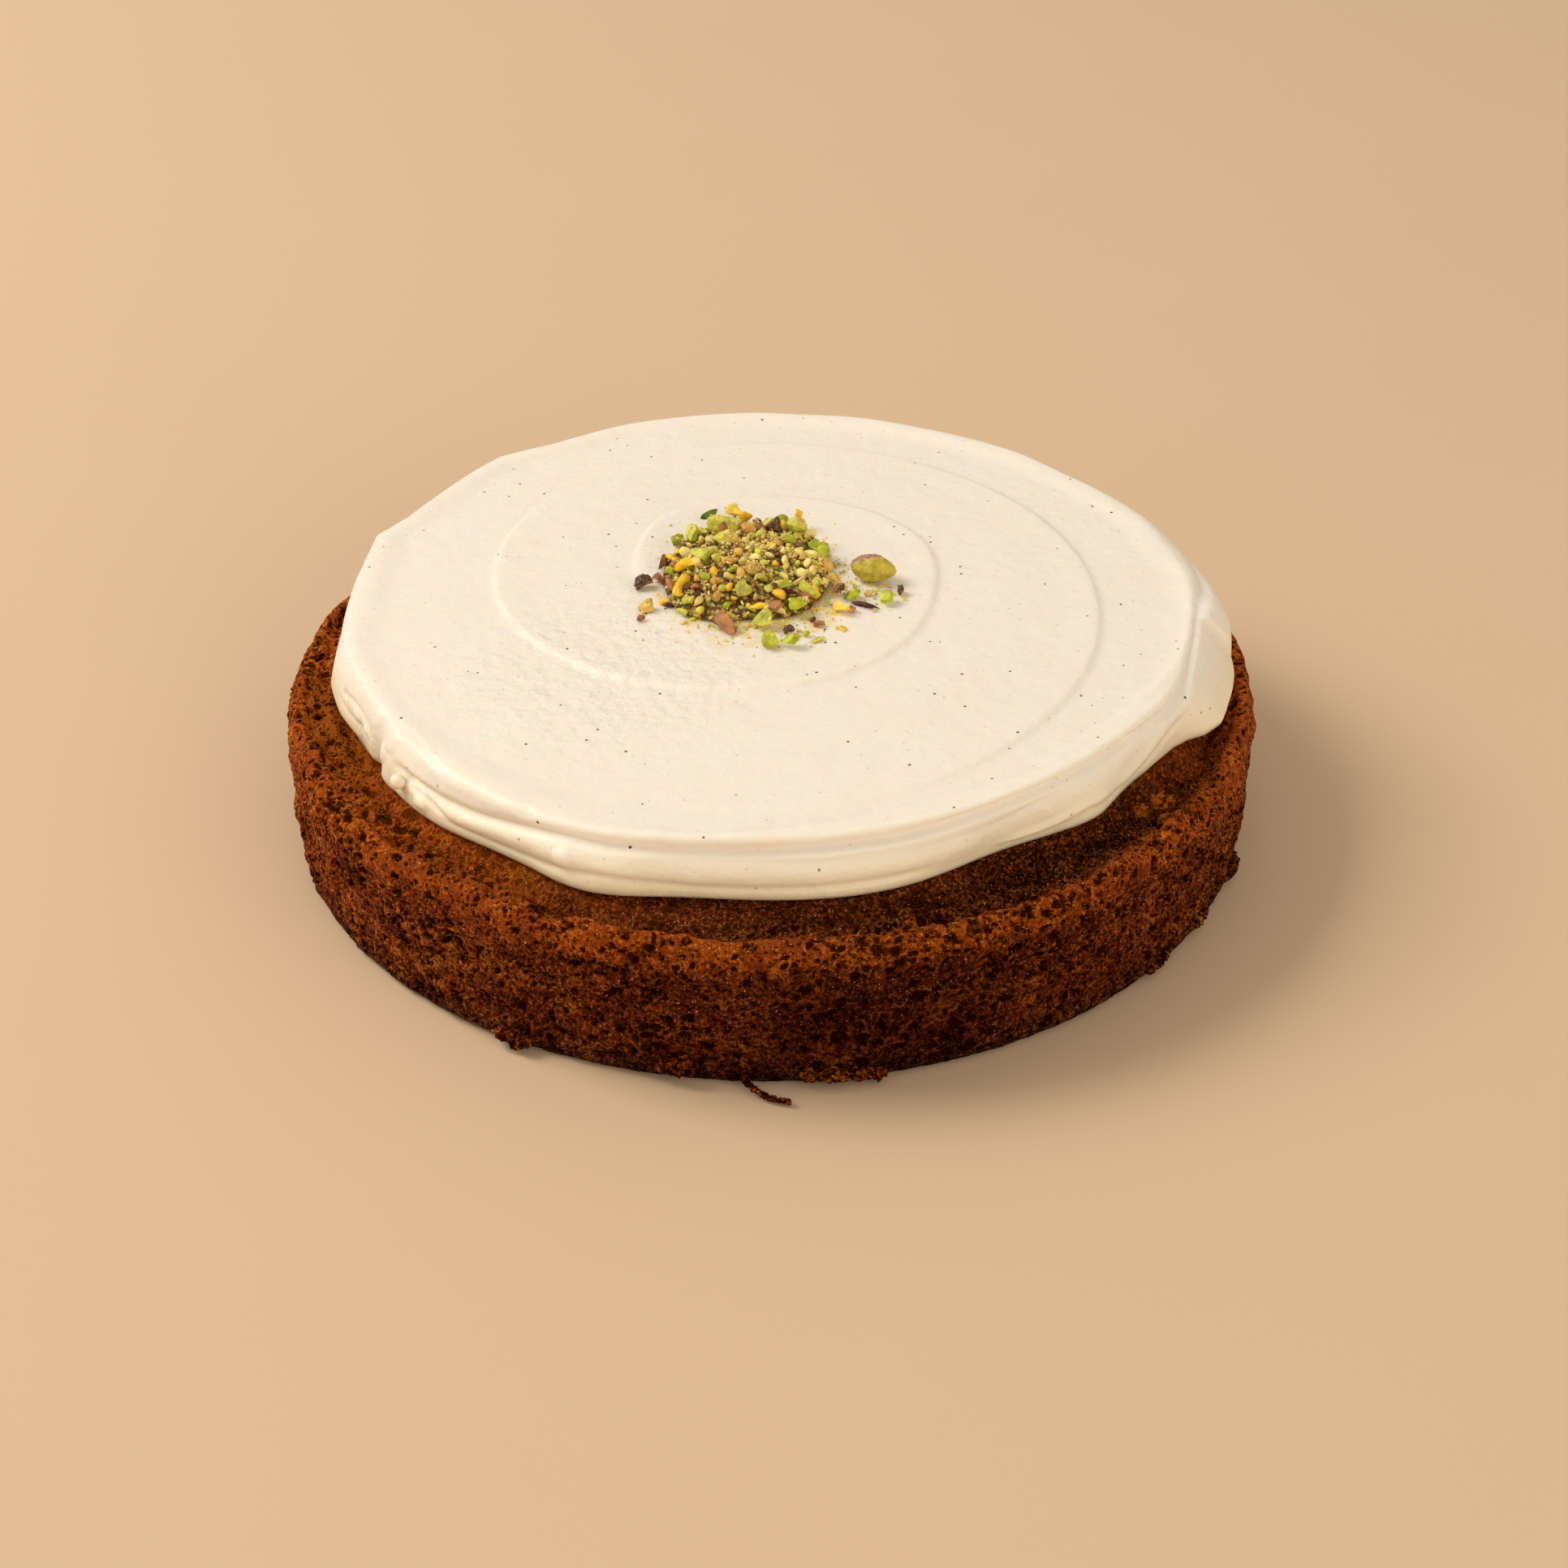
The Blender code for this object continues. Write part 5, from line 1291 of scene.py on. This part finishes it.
# %% Packed meal
def packed_meal():
    material, tree, shader = new_finish("Packed pistachio meal")
    place = add(tree, "ShaderNodeTexCoord").outputs["Object"]
    grains = add(tree, "ShaderNodeTexVoronoi", {"Vector": place, "Scale": 1.0 / (1.15 * MM)})
    chance = add(tree, "ShaderNodeSeparateXYZ", {0: grains.outputs["Color"]})
    ramp = add(tree, "ShaderNodeValToRGB", {0: chance})
    ramp.color_ramp.interpolation = "CONSTANT"
    ramp.color_ramp.elements[0].color = colour("#5e3406")
    ramp.color_ramp.elements[1].position = 0.18
    ramp.color_ramp.elements[1].color = colour("#7c4e0c")
    for position, code in ((0.44, "#a88c1a"), (0.60, "#c0a03a"), (0.76, "#d8be68"), (0.9, "#8e9c1c")):
        ramp.color_ramp.elements.new(position).color = colour(code)
    fine = add(tree, "ShaderNodeTexNoise", {"Vector": place, "Scale": 1500.0, "Detail": 3.0})
    level = add(tree, "ShaderNodeMapRange", {0: fine, 1: 0.3, 2: 0.7, 3: 0.7, 4: 1.2})
    shaded = add(tree, "ShaderNodeVectorMath", {0: ramp, 3: level}, operation="SCALE")
    # Painted shade: the gaps between grains are darker.
    gaps = add(tree, "ShaderNodeMapRange", {0: grains.outputs["Distance"], 1: 0.4, 2: 0.75, 3: 1.0, 4: 0.3})
    shaded = add(tree, "ShaderNodeVectorMath", {0: shaded, 3: gaps}, operation="SCALE")
    relief = add(tree, "ShaderNodeMath", {0: grains.outputs["Distance"], 1: -1.0, 2: fine},
                 operation="MULTIPLY_ADD")
    bump = add(tree, "ShaderNodeBump", {"Height": relief, "Distance": 0.6 * MM, "Strength": 0.9})
    wire(tree, shader, {"Base Color": shaded, "Roughness": 0.65, "Normal": bump})
    return material


CORE_COLUMNS = 220
FLAT_RINGS = [0.6, 0.99]
CORE_RINGS = FLAT_RINGS + list(np.linspace(1.0, 0.02, 46))
core = []
for ring, share in enumerate(CORE_RINGS):
    rise = curve_through(HEAP_STEPS, share) if ring >= len(FLAT_RINGS) else 0.0
    for column in range(CORE_COLUMNS):
        angle = 360.0 * column / CORE_COLUMNS
        x, y = around(angle, heap_outline(angle) * share)
        core.append((x * HEAP_STRETCH[0] + HEAP_MIDDLE[0], y * HEAP_STRETCH[1] + HEAP_MIDDLE[1], rise))
core = np.array(core)
relief = 1.1 * ripple(core * (1, 1, 0), 3.1) + 0.9 * ripple(core * (1, 1, 0), 1.3, 5.0)
core[:, 2] = (cream_top(core[:, 0], core[:, 1]) + GAP + HEAP_HEIGHT * core[:, 2]
              + relief * smooth_step(0.1, 0.5, core[:, 2]))
floor_height = cream_bed(*HEAP_MIDDLE) + GAP
core = np.concatenate([core, [(*HEAP_MIDDLE, floor_height), (*HEAP_MIDDLE, floor_height + HEAP_HEIGHT)]])
core_faces = ring_faces(CORE_COLUMNS, len(CORE_RINGS), len(core) - 2, len(core) - 1)
core_mesh = new_mesh("nut_heap_core", core, core_faces)
new_piece("nut_heap_core", core_mesh, packed_meal(), "pistachio_heap")


# %% [markdown]
# ### Meal and dust
# Fine grains cling to the heap and lie round it on the cream, fewer further out. They repeat by the thousand,
# so Geometry Nodes strew one small grain over a surface, with a share for each place in the attribute dust.
# The surface on the cream is a square grid that follows its top.

# %% A tree that strews grains
def strew_tree():
    tree = bpy.data.node_groups.new("Strew grains", "GeometryNodeTree")
    names = interface(tree, ("Geometry", "NodeSocketGeometry", None), ("Grain", "NodeSocketObject", None),
                      ("Number per square metre", "NodeSocketFloat", 1.0e6),
                      ("Smallest", "NodeSocketFloat", 0.3), ("Largest", "NodeSocketFloat", 1.0),
                      ("Seed", "NodeSocketInt", 1), ("Finish", "NodeSocketMaterial", None))
    given = add(tree, "NodeGroupInput")
    share = add(tree, "GeometryNodeInputNamedAttribute", {"Name": "dust"}, data_type="FLOAT")
    density = add(tree, "ShaderNodeMath", {
        0: share.outputs["Attribute"], 1: given.outputs["Number per square metre"]}, operation="MULTIPLY")
    spots = add(tree, "GeometryNodeDistributePointsOnFaces", {
        "Mesh": given.outputs["Geometry"], "Density": density, "Seed": given.outputs["Seed"]})
    grain = add(tree, "GeometryNodeObjectInfo", {"Object": given.outputs["Grain"]})
    turn = add(tree, "FunctionNodeRandomValue", {1: (6.3, 6.3, 6.3), "Seed": given.outputs["Seed"]},
               data_type="FLOAT_VECTOR")
    size = add(tree, "FunctionNodeRandomValue", {2: given.outputs["Smallest"], 3: given.outputs["Largest"],
                                                 "Seed": given.outputs["Seed"]}, data_type="FLOAT")
    strewn = add(tree, "GeometryNodeInstanceOnPoints", {
        "Points": spots.outputs["Points"], "Instance": grain.outputs["Geometry"], "Rotation": turn,
        "Scale": size.outputs[1]})
    tone = add(tree, "FunctionNodeRandomValue", {"Seed": given.outputs["Seed"]}, data_type="FLOAT")
    toned = add(tree, "GeometryNodeStoreNamedAttribute", {
        "Geometry": strewn, "Name": "tone", "Value": tone.outputs[1]},
        data_type="FLOAT", domain="INSTANCE")
    real = add(tree, "GeometryNodeRealizeInstances", {0: toned})
    dressed = add(tree, "GeometryNodeSetMaterial", {0: real, "Material": given.outputs["Finish"]})
    add(tree, "NodeGroupOutput", {0: dressed})
    return tree, names


grain_points, grain_faces, grain_cut = lump(
    (1.0, 0.8, 0.7), (0, 0, 0), 0, random.Random(3), cuts=3, rough=0.15, level=1, tilt=0.0)
grain = new_object("grain", new_mesh("grain", grain_points, grain_faces, {"cut": grain_cut}))

# %% Surfaces to strew on
SKIRT_CORNER = (-44, -30)
SKIRT_STEP = 1.1
SKIRT_ROWS = 78
SKIRT_COLUMNS = 84
heap_lumps = [part for kind in ("lime", "tan", "green") for part in by_kind[kind] if len(part[0]) > 600]
bed_points, bed_faces, _, _ = join(heap_lumps, random.Random(1))
core_top = [face for face in core_faces[len(FLAT_RINGS) * CORE_COLUMNS:] if len(face) == 4]
bed_faces = bed_faces + [tuple(index + len(bed_points) for index in face) for face in core_top]
bed_points = np.concatenate([bed_points, core])
bed = new_mesh("heap_bed", bed_points, bed_faces)
up = np.array([vertex.normal.z for vertex in bed.vertices])
patchy = smooth_step(-0.2, 0.3, ripple(bed_points, 5.0, 2.0))
centre = np.exp(-((bed_points[:, 0] / 13.0) ** 2) - ((bed_points[:, 1] - 19.0) / 11.0) ** 2)
bed.attributes.new("dust", "FLOAT", "POINT").data.foreach_set(
    "value", (smooth_step(-0.1, 0.6, up) * patchy * (0.2 + 1.5 * centre)).astype(np.float32))
cells = [(SKIRT_CORNER[0] + SKIRT_STEP * column, SKIRT_CORNER[1] + SKIRT_STEP * row)
         for row in range(SKIRT_ROWS) for column in range(SKIRT_COLUMNS)]
skirt = np.array([(x, y, cream_bed(x, y) + 0.12) for x, y in cells])
far = np.array([math.hypot((x - HEAP_MIDDLE[0]) / HEAP_STRETCH[0], (y - HEAP_MIDDLE[1]) / HEAP_STRETCH[1])
                - HEAP_RADIUS for x, y in cells])
lean = np.clip(1.0 + 0.03 * (skirt[:, 0] - skirt[:, 1]), 0.25, 2.0)
near_kernel = np.exp(-((np.hypot(skirt[:, 0] - 24.0, skirt[:, 1] - 9.0) / 6.0) ** 2))
thin_out = np.exp(-np.maximum(far, 0.0) / 3.4) * smooth_step(-4.0, -1.0, far) * lean + 1.6 * near_kernel
first = [row * SKIRT_COLUMNS + column for row in range(SKIRT_ROWS - 1) for column in range(SKIRT_COLUMNS - 1)]
skirt_faces = [(at, at + 1, at + SKIRT_COLUMNS + 1, at + SKIRT_COLUMNS) for at in first]
skirt_mesh = new_mesh("skirt_bed", skirt, skirt_faces, {"dust": thin_out})

# %% Meal on the heap and dust round it
STREWN = [
    ("meal_pale", "meal", bed, 2.1e6, 0.5, 1.35, 3), ("meal_tan", "tan", bed, 0.6e6, 0.5, 1.2, 8),
    ("meal_green", "green", bed, 0.25e6, 0.5, 1.1, 14),
    ("dust_pale", "gold", skirt_mesh, 0.20e6, 0.3, 0.9, 21),
    ("dust_brown", "rose", skirt_mesh, 0.07e6, 0.3, 0.9, 26),
    ("dust_green", "green", skirt_mesh, 0.05e6, 0.4, 1.1, 31),
    ("dust_lime", "lime", skirt_mesh, 0.16e6, 0.5, 1.8, 37),
]
strew, strew_names = strew_tree()
for name, kind, bed_mesh, number, least, most, seed in STREWN:
    made = run_tree(bed_mesh, strew, strew_names, Grain=grain, Number_per_square_metre=number, Smallest=least,
                    Largest=most, Seed=seed, Finish=nut_finishes[kind])
    made.name = name
    new_piece(name, made, nut_finishes[kind])
bpy.data.objects.remove(grain, do_unlink=True)

# %% [markdown]
# ### The whole kernel
# One kernel stayed whole: a bean with a pointed end and a seam along it, and a rag of mauve skin at its back.
# It is a turned bean like its solid, with small dents, and the skin is raised a little from the flesh.

# %% The kernel and its skin
KERNEL_SIZE = (11.6, 7.6, 7.0)
KERNEL_PLACE = (27.2, 13.2)
KERNEL_TURN = -14.0


def kernel_surface():
    """Points and faces of the kernel, and its share of skin."""
    columns, rows = 96, 64
    length, width, height = KERNEL_SIZE
    x0, y0 = KERNEL_PLACE
    z0 = cream_bed(x0, y0) + height / 2 + GAP - 0.3
    points = []
    for row in range(1, rows):
        along = math.cos(math.pi * row / rows)
        across = math.sin(math.pi * row / rows) ** 0.85
        point = 1.0 - 0.22 * float(smooth_step(0.0, 1.0, along))
        for column in range(columns):
            side, up = around(360.0 * column / columns, across * point)
            crease = 1.0 - 0.07 * math.exp(-((side / 0.2) ** 2))
            points.append((along * length / 2, -side * width / 2, up * crease * height / 2))
    points.append((1.06 * length / 2, 0.0, 0.0))
    points.append((-length / 2, 0.0, 0.0))
    points = np.array(points)
    ragged = ripple(points, 1.6, 4.0)
    skin = smooth_step(0.1, 0.35, 0.75 - 0.13 * (points[:, 0] + 3.0) + 0.2 * (points[:, 1] - 1.5)
                       + 0.25 * (points[:, 2] - 2.4) + 0.5 * ragged)
    swell = 1.0 + 0.05 * ripple(points, 2.4, 1.0) + 0.035 * ripple(points, 0.9, 2.0) + 0.045 * skin
    points *= swell[:, None]
    spin = np.array(Matrix.Rotation(math.radians(KERNEL_TURN), 3, "Z"))
    placed = points @ spin.T + np.array((x0, y0, z0))
    return placed, ring_faces(columns, rows - 1, len(points) - 2, len(points) - 1), skin


kernel_points, kernel_faces, kernel_skin = kernel_surface()
kernel_mesh = new_mesh("kernel_whole", kernel_points, kernel_faces, {
    "cut": kernel_skin, "tone": np.full(len(kernel_points), 0.3)})
kernel_finish = nut_finish("Pistachio kernel with a rag of skin", "#b6a722", "#a0606a", "#e2cc74", 0.5, 0.55)
new_piece("kernel_whole", kernel_mesh, kernel_finish, "pistachio_kernel")

# %% [markdown]
# ## The studio
# The cake stands on a plain pale floor. A large soft light comes from the left and a little behind, high up,
# as from a tall window, and the surroundings fill the shadows. The camera stands 0.78 m away and looks down
# at 32.6 degrees, where the real cake was seen from.

# %% Floor, lights and camera
def studio_floor():
    material, tree, shader = new_finish("Matt pale paint")
    place = add(tree, "ShaderNodeTexCoord").outputs["Object"]
    cloud = add(tree, "ShaderNodeTexNoise", {"Vector": place, "Scale": 9.0, "Detail": 4.0})
    paint = add(tree, "ShaderNodeValToRGB", {0: cloud})
    paint.color_ramp.elements[0].color = colour("#dabd9c")
    paint.color_ramp.elements[1].color = colour("#dcc0a0")
    wire(tree, shader, {"Base Color": paint, "Roughness": 0.8})
    return material


FLOOR_REACH = 12.0
corners = [(x * FLOOR_REACH, y * FLOOR_REACH, 0) for x, y in ((-1, -1), (1, -1), (1, 1), (-1, 1))]
floor_mesh = bpy.data.meshes.new("floor")
floor_mesh.from_pydata(corners, [], [(0, 1, 2, 3)])
floor_mesh.materials.append(studio_floor())
floor = new_object("floor", floor_mesh)
floor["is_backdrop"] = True


CAKE_MIDDLE = (0.0, 0.0, 0.04)


def soft_light(name, place, size, power, code):
    """A square soft light that looks at the cake."""
    light = bpy.data.lights.new(name, "AREA")
    light.shape = "SQUARE"
    light.size = size
    light.energy = power
    light.color = colour(code)[:3]
    lamp = new_object(name, light)
    lamp.location = place
    lamp.rotation_euler = (Vector(CAKE_MIDDLE) - Vector(place)).to_track_quat("-Z", "Y").to_euler()


soft_light("window", (-1.9, 0.5, 1.9), 1.3, 50.0, "#fff5ea")
soft_light("bounce", (1.3, -2.0, 0.9), 2.0, 25.0, "#ffeeda")
world = bpy.data.worlds.new("room")
world.use_nodes = True
wire(world.node_tree, world.node_tree.nodes["Background"], {"Color": colour("#fff4e4"), "Strength": 0.49})
bpy.context.scene.world = world
bpy.context.scene.view_settings.view_transform = "Standard"

CAMERA_PLACE = (0.0039, -0.6567, 0.4243)
CAMERA_DOWN = 32.6
SENSOR_WIDTH = 36.0
FOCAL_LENGTH = 67.08
lens = bpy.data.cameras.new("camera")
lens.sensor_width = SENSOR_WIDTH
lens.lens = FOCAL_LENGTH
lens.clip_start = 0.01
camera = new_object("camera", lens)
camera.location = CAMERA_PLACE
camera.rotation_euler = (math.radians(90.0 - CAMERA_DOWN), 0.0, 0.0)
bpy.context.scene.camera = camera

# %% [markdown]
# ## Measure and finish
# Both boxes are printed: that of the solids and that of the made food. The made food has to stay
# within the box of its solids.

# %% Print the boxes
made_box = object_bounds()
for name, box in (("solids", cad_box), ("made", made_box)):
    print(name, [[round(value / MM, 1) for value in corner] for corner in box])
